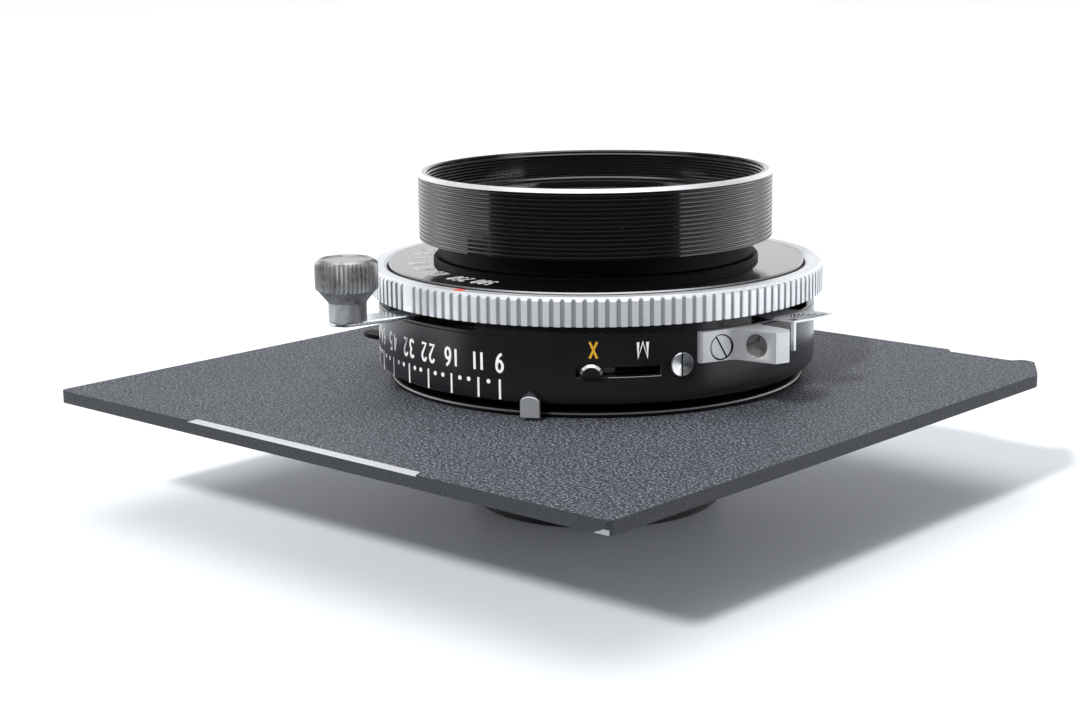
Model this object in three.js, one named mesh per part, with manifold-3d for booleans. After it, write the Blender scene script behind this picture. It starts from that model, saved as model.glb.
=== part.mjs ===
// Large-format lens in a leaf shutter, mounted on a flat lens board.
// Units are millimetres. The pieces are laid out about the lens axis, with z = 0 on the board's
// front face; the finished group is moved so that its origin is the centre of the foot of its box.
import * as THREE from 'three';
import { mergeVertices } from 'three/addons/utils/BufferGeometryUtils.js';
import Module from 'manifold-3d';

const wasm = await Module();
wasm.setup();

// Lens board
const BOARD = { side: 114, thick: 2, hole: 20.9, axisOffset: 7 };
const SEAT = { r: 25.2, depth: 0.1 };
const BEVEL = { x0: -26.3, x1: 22.9, width: 1.7, depth: 0.25 };
const NOTCH = { x0: 35.8, x1: 49.4, depth: 1.5 };
const CORNER_CUT = { x: 5.3, y: 8.6 };

// Shutter body
const CASING_R = 35;
const CASING_SEGMENTS = 60;
const FINE = 32;
const FLANGE = { r: 33.1, bore: 18.1, top: 1.2, neckR: 20.3, neckLength: 5.5 };
const GROOVE_TOP = 2.1;
const SEAM_Z = 12.2;
const CASING_TOP = 14.1;
const COVER_TOP = 14.8;
const TUBE = { bore: 19.9, r: 22.5, threadR: 21.3, foot: 8, shoulder: 17.9, top: 19.6 };

// Iris and shutter blades
const CLEAR_R = 15.3;
const PIVOT_R = 27;
const STUD_REACH = 6;
const PIN_R = 0.6;
const IRIS = { count: 7, swing: 29, ringTurn: -63.3, outerR: 24, span: 120, z0: 2.2, rest: 0 };
const SHUTTER = { count: 5, swing: -35, ringTurn: 25, outerR: 25, span: 150, z0: 5, rest: 35 };
const LEAF = { thick: 0.15, pitch: 0.25 };
const IRIS_RING = { r0: 22.9, r1: 30.7, z0: 1.3, z1: 2 };
const DRIVE_RING = { r0: 22.9, r1: 30.2, z0: 6.4, z1: 7.1 };
const BLADE_PLATE = { z0: 4.1, z1: 4.9, r: 32.4 };
const MECH_PLATE = { z0: 7.4, z1: 8, r: 32.2, bore: 15.4 };

// Controls
const POINTER_ANGLE = -65;
const SPEED_RING = { r: 36.25, rootR: 35.9, bore: 33.45, z0: 14.2, z1: 17.9, top: 18.5, teeth: 96 };
const DIAL = { r: 33.2, z0: 17.9, z1: 18.7 };
const COCKING = { angle: -104.7, reach: 45, z0: 12.95, z1: 13.6, width: 5.2, endR: 2.87 };
const KNOB = { r: 4.75, z0: 18.2, z1: 22.5, top: 22.9, flutes: 32 };
const RELEASE_PIVOT = [30.6, 3.2];
const RELEASE = { z0: 12.7, z1: 13.15, pinR: 0.8 };
const SYNC = { a0: -54.2, a1: -34, z0: 6.54, z1: 8.02, rest: -50.5 };

// Lens cells
const BARREL = { r: 28.26, z0: 22.5, top: 33.07, threadR: 26.8, neckR: 25.2, ribs: 8 };
const REAR = { r: 20, z0: -20.8, threadR: 17.9, bore: 18.2 };

const FINISH = {
  boardPaint: [0x2b2c2f, 0.75, 0.1],
  blackPaint: [0x141416, 0.45, 0.2],
  glossBlack: [0x0c0c0e, 0.2, 0.3],
  chrome: [0xc9cbce, 0.28, 1],
  satin: [0xa9abae, 0.4, 1],
  brass: [0xb08d4a, 0.35, 1],
  darkSteel: [0x3a3b3e, 0.4, 0.9],
  glass: [0x9fb4c4, 0.05, 0],
  insulator: [0xd8d2c0, 0.6, 0],
};

const rad = THREE.MathUtils.degToRad;

function polar(r, deg, z) {
  const x = r * Math.cos(rad(deg));
  const y = r * Math.sin(rad(deg));
  return z === undefined ? [x, y] : [x, y, z];
}

function arc(r, from, to, step = 5, centre = [0, 0]) {
  const count = Math.max(1, Math.round(Math.abs(to - from) / step));
  const points = [];
  for (let i = 0; i <= count; i += 1) {
    const [x, y] = polar(r, from + ((to - from) * i) / count);
    points.push([x + centre[0], y + centre[1]]);
  }
  return points;
}

function circle(r, segments, centre = [0, 0]) {
  return arc(r, 0, 360, 360 / segments, centre).slice(0, -1);
}

// Keeps positions only, drops collapsed triangles and turns every face outwards.
function clean(geometry) {
  const bare = new THREE.BufferGeometry();
  const source = geometry.index ? geometry.toNonIndexed() : geometry;
  bare.setAttribute('position', source.getAttribute('position').clone());
  const merged = mergeVertices(bare, 1e-4);
  const pos = merged.getAttribute('position');
  const corner = [new THREE.Vector3(), new THREE.Vector3(), new THREE.Vector3()];
  const kept = [];
  let volume = 0;
  for (let i = 0; i < merged.index.count; i += 3) {
    const ids = [0, 1, 2].map((k) => merged.index.getX(i + k));
    if (new Set(ids).size < 3) continue;
    ids.forEach((id, k) => corner[k].fromBufferAttribute(pos, id));
    volume += corner[0].dot(corner[1].clone().cross(corner[2]));
    kept.push(...ids);
  }
  merged.setIndex(volume < 0 ? kept.reverse() : kept);
  return merged;
}

function toSolid(geometry) {
  const body = clean(geometry);
  const mesh = new wasm.Mesh({
    numProp: 3,
    vertProperties: new Float32Array(body.getAttribute('position').array),
    triVerts: new Uint32Array(body.index.array),
  });
  return new wasm.Manifold(mesh);
}

function fromSolid(solid) {
  const mesh = solid.getMesh();
  const geometry = new THREE.BufferGeometry();
  geometry.setAttribute('position', new THREE.BufferAttribute(new Float32Array(mesh.vertProperties), 3));
  geometry.setIndex(new THREE.BufferAttribute(new Uint32Array(mesh.triVerts), 1));
  return geometry;
}

function join(...geometries) {
  return fromSolid(geometries.map(toSolid).reduce((sum, next) => sum.add(next)));
}

function cut(body, ...tools) {
  return fromSolid(tools.map(toSolid).reduce((rest, tool) => rest.subtract(tool), toSolid(body)));
}

// A closed profile of [radius, height] pairs turned about the lens axis.
function turned(profile, segments = FINE) {
  const points = profile.map(([r, z]) => new THREE.Vector2(r, z));
  const onAxis = profile[0][0] === 0 && profile[profile.length - 1][0] === 0;
  if (!onAxis) points.push(points[0].clone());
  return clean(new THREE.LatheGeometry(points, segments).rotateX(Math.PI / 2));
}

function ring(r0, r1, z0, z1, segments = FINE) {
  return turned([[r0, z0], [r1, z0], [r1, z1], [r0, z1]], segments);
}

function rod(r, z0, z1, segments = 16) {
  return turned([[0, z0], [r, z0], [r, z1], [0, z1]], segments);
}

// A flat outline with optional holes, raised from z0 to z1.
function prism(outline, z0, z1, holes = []) {
  const shape = new THREE.Shape(outline.map(([x, y]) => new THREE.Vector2(x, y)));
  shape.holes = holes.map((hole) => new THREE.Path(hole.map(([x, y]) => new THREE.Vector2(x, y))));
  const geometry = new THREE.ExtrudeGeometry(shape, { depth: z1 - z0, bevelEnabled: false });
  return clean(geometry.translate(0, 0, z0));
}

function wedge(r0, r1, from, to, z0, z1, step = 6) {
  return prism([...arc(r0, from, to, step), ...arc(r1, to, from, step)], z0, z1);
}

// Stands a piece that was turned about z on the casing's side, pointing outwards.
function onSide(geometry, deg, z, r, shift = 0) {
  return geometry.rotateY(Math.PI / 2).translate(r, shift, z).rotateZ(rad(deg));
}

function part(name, geometry, finish) {
  const [color, roughness, metalness] = FINISH[finish];
  const material = new THREE.MeshStandardMaterial({ color, roughness, metalness });
  material.name = name;
  const smooth = geometry.index ? geometry.toNonIndexed() : geometry;
  smooth.computeVertexNormals();
  const mesh = new THREE.Mesh(smooth, material);
  mesh.name = name;
  return mesh;
}

function lensBoard() {
  const half = BOARD.side / 2;
  const outline = [
    [-half, -half], [half, -half], [half, half - CORNER_CUT.y], [half - CORNER_CUT.x, half],
    [NOTCH.x1, half], [NOTCH.x1 - 1, half - NOTCH.depth], [NOTCH.x0 + 1, half - NOTCH.depth],
    [NOTCH.x0, half], [-half, half],
  ].map(([x, y]) => [x, y - BOARD.axisOffset]);
  const plate = prism(outline, -BOARD.thick, 0, [circle(BOARD.hole, FINE)]);
  const edge = -half - BOARD.axisOffset;
  const bevel = prism([[edge - 1, 1], [edge + BEVEL.width, 1], [edge + BEVEL.width, 0],
    [edge, -BEVEL.depth], [edge - 1, -BEVEL.depth]], BEVEL.x0, BEVEL.x1);
  bevel.rotateZ(Math.PI / 2).rotateY(Math.PI / 2);
  const seat = rod(SEAT.r, -BOARD.thick - 1, -BOARD.thick + SEAT.depth, FINE);
  return part('lens_board', cut(plate, bevel, seat), 'boardPaint');
}

function retainingRing() {
  const top = -BOARD.thick + SEAT.depth;
  const body = ring(20.6, 24.6, top - 1.8, top);
  const notches = [0, 90, 180, 270].map((deg) => wedge(23.4, 26, deg - 3, deg + 3, -5, top - 0.9));
  return part('retaining_ring', cut(body, ...notches), 'darkSteel');
}

function shutterFlange() {
  const disc = turned([[FLANGE.bore, -FLANGE.neckLength], [FLANGE.neckR, -FLANGE.neckLength],
    [FLANGE.neckR, 0], [FLANGE.r, 0], [FLANGE.r, FLANGE.top], [FLANGE.bore, FLANGE.top]]);
  const rim = wedge(31.1, 32.2, -58, 222, FLANGE.top - 0.2, GROOVE_TOP, 10);
  return part('shutter_flange', join(disc, rim), 'satin');
}

function lowerCasing() {
  const shell = turned([[31.2, GROOVE_TOP], [33.2, GROOVE_TOP], [34.3, 2.5], [34.85, 3.1],
    [CASING_R, 3.8], [CASING_R, SEAM_Z], [32.6, SEAM_Z], [32.6, BLADE_PLATE.z0],
    [31.2, BLADE_PLATE.z0]], CASING_SEGMENTS);
  const slot = wedge(31, 37, SYNC.a0, SYNC.a1, SYNC.z0, SYNC.z1);
  return part('lower_casing', cut(shell, slot), 'blackPaint');
}

function upperCasing() {
  const shell = ring(32, 34.8, SEAM_Z, CASING_TOP, CASING_SEGMENTS);
  const cocking = wedge(31, 37, -152, -79.85, 12.6, 15);
  const release = wedge(31, 37, -8, 20, 12.6, 15);
  return part('upper_casing', cut(shell, cocking, release), 'blackPaint');
}

// Offsets a path to both sides and rounds its ends.
function stroke(path, halfWidth) {
  const left = [];
  const right = [];
  path.forEach((point, i) => {
    const a = path[Math.max(0, i - 1)];
    const b = path[Math.min(path.length - 1, i + 1)];
    const length = Math.hypot(b[0] - a[0], b[1] - a[1]);
    const n = [(-(b[1] - a[1]) * halfWidth) / length, ((b[0] - a[0]) * halfWidth) / length];
    left.push([point[0] + n[0], point[1] + n[1]]);
    right.unshift([point[0] - n[0], point[1] - n[1]]);
  });
  const cap = (from, to) => {
    const start = (Math.atan2(from[1] - to[1], from[0] - to[0]) * 180) / Math.PI;
    const middle = [(from[0] + to[0]) / 2, (from[1] + to[1]) / 2];
    return arc(halfWidth, start, start - 180, 60, middle).slice(1, -1);
  };
  return [...left, ...cap(left[left.length - 1], right[0]), ...right, ...cap(right[right.length - 1], left[0])];
}

// Where a blade's stud lies, seen from the control ring, for a share of the full travel.
function studPoint(set, share) {
  const blade = rad(set.rest + set.swing * share);
  const x = PIVOT_R - STUD_REACH * Math.sin(blade);
  const y = STUD_REACH * Math.cos(blade);
  const turn = rad(-set.ringTurn * share);
  return [x * Math.cos(turn) - y * Math.sin(turn), x * Math.sin(turn) + y * Math.cos(turn)];
}

function turnPoints(points, deg) {
  const c = Math.cos(rad(deg));
  const s = Math.sin(rad(deg));
  return points.map(([x, y]) => [x * c - y * s, x * s + y * c]);
}

// The ring that swings a set of blades, with one cam slot for each blade's stud.
function camRing(set, size) {
  const path = [];
  for (let i = 0; i <= 8; i += 1) path.push(studPoint(set, 0.15 * i - 0.1));
  const slot = stroke(path, 0.7);
  const slots = [];
  for (let i = 0; i < set.count; i += 1) slots.push(turnPoints(slot, (360 / set.count) * i));
  return prism(circle(size.r1, FINE), size.z0, size.z1, [circle(size.r0, FINE), ...slots]);
}

// One blade: a curved leaf with an ear for its pivot and its stud.
function blade(set, index, studTo) {
  const outline = [
    ...arc(CLEAR_R, -6, set.span, 14), ...arc(set.outerR, set.span, 20, 14),
    ...[[25.8, 17], [28.7, 14], [28.9, 6], [28.9, -2.5], [27, -5], [22, -7]].map(([r, a]) => polar(r, a)),
  ];
  const z0 = set.z0 + LEAF.pitch * index;
  const z1 = z0 + LEAF.thick;
  const leaf = prism(outline, z0, z1, [circle(PIN_R + 0.06, 12, [PIVOT_R, 0])]);
  const stud = rod(0.45, Math.min(z0 + 0.05, studTo), Math.max(z1 - 0.05, studTo), 8);
  const body = join(leaf, stud.translate(PIVOT_R, STUD_REACH, 0));
  body.translate(-PIVOT_R, 0, 0).rotateZ(rad(set.rest)).translate(PIVOT_R, 0, 0);
  return body.rotateZ(rad((360 / set.count) * index));
}

function bladeSet(set, name, studTo) {
  const blades = [];
  for (let i = 0; i < set.count; i += 1) {
    blades.push(part(`${name}_${i + 1}`, blade(set, i, studTo), 'darkSteel'));
  }
  return blades;
}

function bladePlate() {
  const plate = ring(CLEAR_R, BLADE_PLATE.r, BLADE_PLATE.z0, BLADE_PLATE.z1);
  const pins = [];
  for (let i = 0; i < IRIS.count; i += 1) {
    const pin = rod(PIN_R, 2.15, BLADE_PLATE.z0 + 0.2, 8).translate(PIVOT_R, 0, 0);
    pins.push(pin.rotateZ(rad((360 / IRIS.count) * i)));
  }
  for (let i = 0; i < SHUTTER.count; i += 1) {
    const pin = rod(PIN_R, BLADE_PLATE.z1 - 0.2, 6.3, 8).translate(PIVOT_R, 0, 0);
    pins.push(pin.rotateZ(rad((360 / SHUTTER.count) * i)));
  }
  return part('blade_plate', join(plate, ...pins), 'satin');
}

function apertureRing() {
  const tab = prism([[30, -1.1], [35.35, -1.1], [35.35, 1.1], [30, 1.1]], IRIS_RING.z0, IRIS_RING.z1);
  return part('aperture_ring', join(camRing(IRIS, IRIS_RING), tab.rotateZ(rad(POINTER_ANGLE))), 'brass');
}

function aperturePointer() {
  const face = [[-1.45, 0.55], [1.45, 0.55], [1.45, 3.4], [0, 4.5], [-1.45, 3.4]];
  const tab = prism(face, 35.35, 36.15).rotateX(Math.PI / 2).rotateZ(Math.PI / 2);
  return part('aperture_pointer', clean(tab).rotateZ(rad(POINTER_ANGLE)), 'satin');
}

// Axles of the retard train, tangentially spaced along one circle.
const RETARD_R = 27.5;
const RETARD_START = 58;
const SECTOR = { pitchR: 6, teeth: 24, kept: 5 };
const PINION = { pitchR: 2.5, teeth: 10 };
const RETARD_STEP = 2 * Math.asin((SECTOR.pitchR + PINION.pitchR) / (2 * RETARD_R)) * (180 / Math.PI);
const PALLET_STEP = 2 * Math.asin(5.6 / (2 * RETARD_R)) * (180 / Math.PI);
const RETARD = {
  sector: polar(RETARD_R, RETARD_START),
  pinion: polar(RETARD_R, RETARD_START + RETARD_STEP),
  pallet: polar(RETARD_R, RETARD_START + RETARD_STEP + PALLET_STEP),
};

function heading(from, to) {
  return (Math.atan2(to[1] - from[1], to[0] - from[0]) * 180) / Math.PI;
}

function toothPoints(pitchR, deg) {
  const root = 20 / pitchR;
  const tip = 9 / pitchR;
  return [polar(pitchR - 0.5, deg - root), polar(pitchR + 0.3, deg - tip),
    polar(pitchR + 0.3, deg + tip), polar(pitchR - 0.5, deg + root)];
}

function mechanismPlate() {
  const outline = [...arc(MECH_PLATE.r, -25, 295, 7.5), ...arc(30.9, 295, 335, 8)];
  const plate = prism(outline, MECH_PLATE.z0, MECH_PLATE.z1, [circle(MECH_PLATE.bore, FINE)]);
  const legs = [30, 150, 270].map((deg) => rod(0.7, BLADE_PLATE.z1, 7.5, 8).translate(...polar(31.2, deg, 0)));
  const axles = Object.values(RETARD).map(([x, y]) => rod(0.5, 7.9, 11.4, 12).translate(x, y, 0));
  const post = turned([[0, 7.9], [1.2, 7.9], [1.2, 12.6], [RELEASE.pinR, 12.6], [RELEASE.pinR, 13.8], [0, 13.8]], 12);
  const springPost = rod(1.4, 7.9, 11.4, 12).translate(...polar(27, -150, 0));
  const posts = [post.translate(...RELEASE_PIVOT, 0), springPost];
  return part('mechanism_plate', join(plate, ...legs, ...axles, ...posts), 'brass');
}

function mechanismBridge() {
  const plate = ring(22.8, 28.8, 11.6, 12.3);
  const legs = [20, 130, 250].map((deg) => rod(0.8, MECH_PLATE.z1, 11.7, 8).translate(...polar(25, deg, 0)));
  return part('mechanism_bridge', join(plate, ...legs), 'brass');
}

function retardTrain() {
  const sectorTo = heading(RETARD.sector, RETARD.pinion);
  const teeth = [];
  const half = (SECTOR.kept - 1) / 2;
  for (let i = -half; i <= half; i += 1) teeth.push(...toothPoints(SECTOR.pitchR, (360 / SECTOR.teeth) * i));
  const arm = prism([...arc(1.3, 60, 300, 40), ...teeth], 9, 9.6, [circle(0.56, 12)]);
  const gear = [];
  for (let i = 0; i < PINION.teeth; i += 1) gear.push(...toothPoints(PINION.pitchR, (360 / PINION.teeth) * (i + 0.5)));
  const star = [];
  for (let i = 0; i < 12; i += 1) star.push(polar(3.1, 30 * i), polar(2.3, 30 * i + 20));
  const wheel = join(prism(gear, 8.8, 10.3, [circle(0.56, 12)]), prism(star, 10.2, 10.7, [circle(0.56, 12)]));
  const claws = [[-0.9, 1.4], [-2.0, 2.9], [-2.6, 2.7], [-2.2, 1.6], [-1.3, 0.2],
    [-1.3, -0.2], [-2.2, -1.6], [-2.6, -2.7], [-2.0, -2.9], [-0.9, -1.4], [0.9, -1], [1.2, 0], [0.9, 1]];
  const pallet = prism(claws, 10.2, 10.7, [circle(0.56, 12)]);
  const place = (geometry, [x, y], deg) => geometry.rotateZ(rad(deg)).translate(x, y, 0);
  return [
    part('retard_sector', place(arm, RETARD.sector, sectorTo), 'brass'),
    part('retard_pinion', place(wheel, RETARD.pinion, sectorTo + 180), 'brass'),
    part('retard_pallet', place(pallet, RETARD.pallet, heading(RETARD.pinion, RETARD.pallet)), 'darkSteel'),
  ];
}

class Helix extends THREE.Curve {
  getPoint(t) {
    const turn = t * 3 * 2 * Math.PI;
    return new THREE.Vector3(2.1 * Math.cos(turn), 2.1 * Math.sin(turn), 8.5 + 2.4 * t);
  }
}

function mainspring() {
  const section = new THREE.Shape(circle(0.25, 5).map(([x, y]) => new THREE.Vector2(x, y)));
  const coil = new THREE.ExtrudeGeometry(section, { steps: 30, extrudePath: new Helix(), bevelEnabled: false });
  return part('mainspring', clean(coil.translate(...polar(27, -150, 0))), 'darkSteel');
}

function shutterTube() {
  const profile = [[TUBE.bore, TUBE.foot], [TUBE.r, TUBE.foot], [TUBE.r, TUBE.shoulder],
    [TUBE.threadR, TUBE.shoulder], [TUBE.threadR, TUBE.top], [TUBE.bore, TUBE.top]];
  return part('shutter_tube', turned(profile), 'satin');
}

function speedRing() {
  const outline = [];
  for (let i = 0; i < SPEED_RING.teeth; i += 1) {
    const deg = (360 / SPEED_RING.teeth) * i;
    outline.push(polar(SPEED_RING.r, deg), polar(SPEED_RING.rootR, deg + 180 / SPEED_RING.teeth));
  }
  const knurl = prism(outline, SPEED_RING.z0, SPEED_RING.z1, [circle(33.9, FINE)]);
  const core = turned([[SPEED_RING.bore, SPEED_RING.z0], [34.2, SPEED_RING.z0], [34.2, SPEED_RING.z1 - 0.2],
    [36.2, SPEED_RING.z1 - 0.2], [36.2, SPEED_RING.z1], [35.75, SPEED_RING.top], [SPEED_RING.bore, SPEED_RING.top],
    [SPEED_RING.bore, 16.4], [32.4, 16.4], [32.4, 15.6], [SPEED_RING.bore, 15.6]]);
  return part('speed_ring', join(core, knurl), 'chrome');
}

function speedCamPlate() {
  const slot = stroke(arc(28, 20, 150, 10).map(([x, y], i) => [x * (1 - i * 0.006), y * (1 - i * 0.006)]), 1);
  const plate = prism(circle(33.1, FINE), 15, 15.6, [circle(23, FINE), slot]);
  return part('speed_cam_plate', plate, 'satin');
}

function cockingLever() {
  const { angle, reach, z0, z1, width, endR } = COCKING;
  const arm = prism([[26, -width / 2], ...arc(endR, -64.95, 64.95, 26, [reach, 0]), [26, width / 2]], z0, z1);
  return part('cocking_lever', join(ring(22.8, 27.4, z0, z1), arm.rotateZ(rad(angle))), 'satin');
}

function cockingPost() {
  const profile = [[0, COCKING.z1], [COCKING.endR, COCKING.z1], [COCKING.endR, 16.4], [4.3, KNOB.z0],
    [0, KNOB.z0]];
  return part('cocking_post', turned(profile, 24).translate(...polar(COCKING.reach, COCKING.angle, 0)), 'satin');
}

function cockingKnob() {
  const outline = [];
  for (let i = 0; i < KNOB.flutes; i += 1) {
    const deg = (360 / KNOB.flutes) * i;
    outline.push(polar(KNOB.r, deg), polar(KNOB.r - 0.3, deg + 180 / KNOB.flutes));
  }
  const head = join(prism(outline, KNOB.z0, KNOB.z1), rod(KNOB.r * 0.88, KNOB.z1 - 0.1, KNOB.top, 24));
  return part('cocking_knob', head.translate(...polar(COCKING.reach, COCKING.angle, 0)), 'satin');
}

function releaseLever() {
  const outline = [[29.4, 2.4], [31.5, -0.6], [36, -1.1], [39.6, -1.1], [40.3, 2.6], [40.6, 6.2], [40.4, 8],
    [36.5, 7.6], [32.5, 6.4], [29.6, 4.6]];
  const plate = prism(outline, RELEASE.z0, RELEASE.z1, [circle(RELEASE.pinR + 0.06, 12, RELEASE_PIVOT)]);
  const tab = prism([[39, -1.1], [39.6, -1.1], [39.6, -0.5], [39, -0.5]], 8.5, RELEASE.z0 + 0.2);
  return part('release_lever', join(plate, tab), 'satin');
}

// A point on the casing's outer facet at an angle.
function onCasing(deg) {
  const step = 360 / CASING_SEGMENTS;
  const middle = (Math.floor(deg / step) + 0.5) * step;
  return polar((CASING_R * Math.cos(rad(step / 2))) / Math.cos(rad(deg - middle)), deg);
}

const SOCKET_FOOT = { a0: -24.4, a1: -15, r: 36 };
const SOCKET_MOUTH = { at: [38.4, -8.98], z: 10.37, r: 2.08, heading: -80.7 };
const SOCKET_SCREW = { r: 1.85, boreR: 1.95, depth: 0.4, z: 10.05, shift: 0.83 };

// Distance and direction of the middle of the socket's outer foot face.
function footFace() {
  const { a0, a1, r } = SOCKET_FOOT;
  return { deg: (a0 + a1) / 2, r: r * Math.cos(rad((a1 - a0) / 2)) };
}

function cableReleaseSocket() {
  const { a0, a1, r } = SOCKET_FOOT;
  const inner = [-6.5, -12, -18, -24, a0].map(onCasing);
  const outline = [...inner, polar(r, a0), polar(r, a1), [41.6, -8.5], [42.35, -6.1], [41.4, -4.9], [37, -4.4]];
  const block = prism(outline.reverse(), 8, 12.6);
  const hole = rod(SOCKET_MOUTH.r, -8, 4, 20).rotateY(Math.PI / 2).rotateZ(rad(SOCKET_MOUTH.heading));
  const face = footFace();
  const seat = onSide(rod(SOCKET_SCREW.boreR, -SOCKET_SCREW.depth, 1, 24), face.deg, SOCKET_SCREW.z, face.r,
    SOCKET_SCREW.shift);
  return part('cable_release_socket', cut(block, hole.translate(...SOCKET_MOUTH.at, SOCKET_MOUTH.z), seat), 'satin');
}

// A small flat tab of unknown use that stands out of the casing's left side.
function sideTab() {
  const inner = [-141.5, -144, -150].map(onCasing);
  const outline = [...inner, polar(38.2, -149.6), polar(38.8, -148.2), polar(38.6, -146.4), polar(37.6, -144),
    polar(36.2, -142.2)];
  return part('side_tab', prism(outline, 5.05, 5.75), 'blackPaint');
}

// A slotted screw head standing on a face, turned about z.
function screwHead(r, height, slotTurn) {
  const head = turned([[0, 0], [r, 0], [r, height * 0.7], [r - 0.25, height], [0, height]], 20);
  const slot = prism([[-r - 1, -0.22], [r + 1, -0.22], [r + 1, 0.22], [-r - 1, 0.22]], height * 0.5, height + 1);
  return cut(head, slot.rotateZ(rad(slotTurn)));
}

function screws() {
  const face = footFace();
  const casing = CASING_R * Math.cos(rad(180 / CASING_SEGMENTS));
  const { r, depth, z, shift } = SOCKET_SCREW;
  return [
    part('socket_screw', onSide(screwHead(r, depth + 0.05, 120), face.deg, z, face.r - depth, shift), 'satin'),
    part('side_screw', onSide(screwHead(1.8, 0.6, 0), -27, 8, casing, -0.85), 'satin'),
  ];
}

function syncSelector() {
  const slide = wedge(31.2, 32.3, SYNC.rest - 6, SYNC.rest + 6, 6.7, 7.85);
  const stem = wedge(32, 35.5, SYNC.rest - 1.3, SYNC.rest + 1.3, 6.7, 7.85);
  const lug = wedge(35.3, 36.4, SYNC.rest - 2.7, SYNC.rest + 2.7, 6.3, 8.7);
  return part('sync_selector', join(slide, stem, lug), 'satin');
}

const TERMINAL = { angle: -171, z: 5.8 };

function flashTerminal() {
  const casing = CASING_R * Math.cos(rad(180 / CASING_SEGMENTS));
  const shell = turned([[0, 0], [2.4, 0], [2.4, 3], [1.7, 3], [1.7, 0.4], [0, 0.4]], 24);
  const insulator = turned([[0.5, 0.4], [1.6, 0.4], [1.6, 2.2], [0.5, 2.2]], 24);
  const pin = rod(0.4, 0.4, 2.7, 12);
  const place = (geometry) => onSide(geometry, TERMINAL.angle, TERMINAL.z, casing);
  return [part('pc_terminal', place(shell), 'satin'), part('pc_insulator', place(insulator), 'insulator'),
    part('pc_pin', place(pin), 'brass')];
}

function frontBarrel() {
  const seat = BARREL.threadR - 0.1;
  const profile = [[16.4, 9.5], [19.7, 9.5], [19.7, TUBE.top], [BARREL.neckR, TUBE.top],
    [BARREL.neckR, BARREL.z0], [seat, BARREL.z0], [seat, 28], [22.6, 28], [22.6, 24], [18, 24],
    [18, 10.3], [16.4, 10.3]];
  return part('front_barrel', turned(profile), 'glossBlack');
}

// The ribbed shell around the front cell; its upper half is the filter thread's wall.
function filterRing() {
  const ribs = [];
  const pitch = (BARREL.top - 0.7 - BARREL.z0 - 0.4) / BARREL.ribs;
  for (let i = 0; i < BARREL.ribs; i += 1) {
    const z = BARREL.z0 + 0.4 + pitch * i;
    ribs.push([BARREL.r, z], [BARREL.r - 0.35, z + pitch / 2]);
  }
  const profile = [[BARREL.threadR, BARREL.z0], [BARREL.r - 0.3, BARREL.z0], ...ribs,
    [BARREL.r, BARREL.top - 0.6], [BARREL.r - 0.6, BARREL.top], [BARREL.threadR, BARREL.top]];
  return part('filter_ring', turned(profile), 'glossBlack');
}

// A lens element: flat edge land of radius r from z0 to z1, with domes to the axis.
function element(r, z0, z1, lowDome, highDome) {
  const face = (z, dome) => [[0, z + dome], [r * 0.5, z + dome * 0.7], [r * 0.85, z]];
  return turned([...face(z0, lowDome), [r, z0], [r, z1], ...face(z1, highDome).reverse()], 24);
}

function frontCell() {
  return [
    frontBarrel(), filterRing(),
    part('front_bezel', ring(21.2, 26.6, 28, 28.8), 'glossBlack'),
    part('front_glass_outer', element(22.3, 24, 27.6, 1.4, 1.1), 'glass'),
    part('front_spacer', ring(16.8, 17.8, 12.9, 24, 24), 'darkSteel'),
    part('front_glass_inner', element(17.7, 10.3, 12.9, 1, -0.6), 'glass'),
  ];
}

function rearCell() {
  const profile = [[15.7, -0.3], [REAR.threadR, -0.3], [REAR.threadR, -FLANGE.neckLength],
    [REAR.r, -FLANGE.neckLength], [REAR.r, REAR.z0 + 0.4], [REAR.r - 0.3, REAR.z0], [18.8, REAR.z0],
    [REAR.bore, REAR.z0 + 0.5], [REAR.bore, -7], [15.7, -7]];
  return [
    part('rear_barrel', turned(profile), 'glossBlack'),
    part('rear_glass_inner', element(17.9, -9.8, -7, 0.6, 1), 'glass'),
    part('rear_spacer', ring(16.8, 17.9, -15.4, -9.8, 24), 'darkSteel'),
    part('rear_glass_outer', element(17.9, -18.8, -15.4, -0.7, -0.9), 'glass'),
    part('rear_retainer', ring(16.9, 18, -19.6, -18.8, 24), 'glossBlack'),
  ];
}

function build() {
  const group = new THREE.Group();
  group.name = 'large_format_lens';
  group.add(
    lensBoard(), retainingRing(), shutterFlange(), lowerCasing(), upperCasing(),
    part('casing_cover', ring(22.7, 33.1, CASING_TOP, COVER_TOP), 'satin'),
    bladePlate(), mechanismPlate(), mechanismBridge(), shutterTube(),
    part('dial_plate', ring(21.5, DIAL.r, DIAL.z0, DIAL.z1), 'glossBlack'),
    part('dial_retaining_ring', ring(21.5, 26, DIAL.z1, TUBE.top), 'glossBlack'),
    mainspring(), ...retardTrain(),
    apertureRing(), aperturePointer(), ...bladeSet(IRIS, 'aperture_blade', 1.35),
    part('shutter_drive_ring', camRing(SHUTTER, DRIVE_RING), 'brass'),
    ...bladeSet(SHUTTER, 'shutter_blade', 7),
    speedRing(), speedCamPlate(), cockingLever(), cockingPost(), cockingKnob(), releaseLever(),
    cableReleaseSocket(), ...screws(), syncSelector(), sideTab(), ...flashTerminal(),
    ...frontCell(), ...rearCell(),
  );
  group.children.forEach((mesh) => mesh.geometry.translate(0, BOARD.axisOffset, -REAR.z0));
  return group;
}

export default build();
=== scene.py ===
import math

import bmesh
import bpy
from mathutils import Matrix, Vector
from mathutils.geometry import tessellate_polygon


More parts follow.
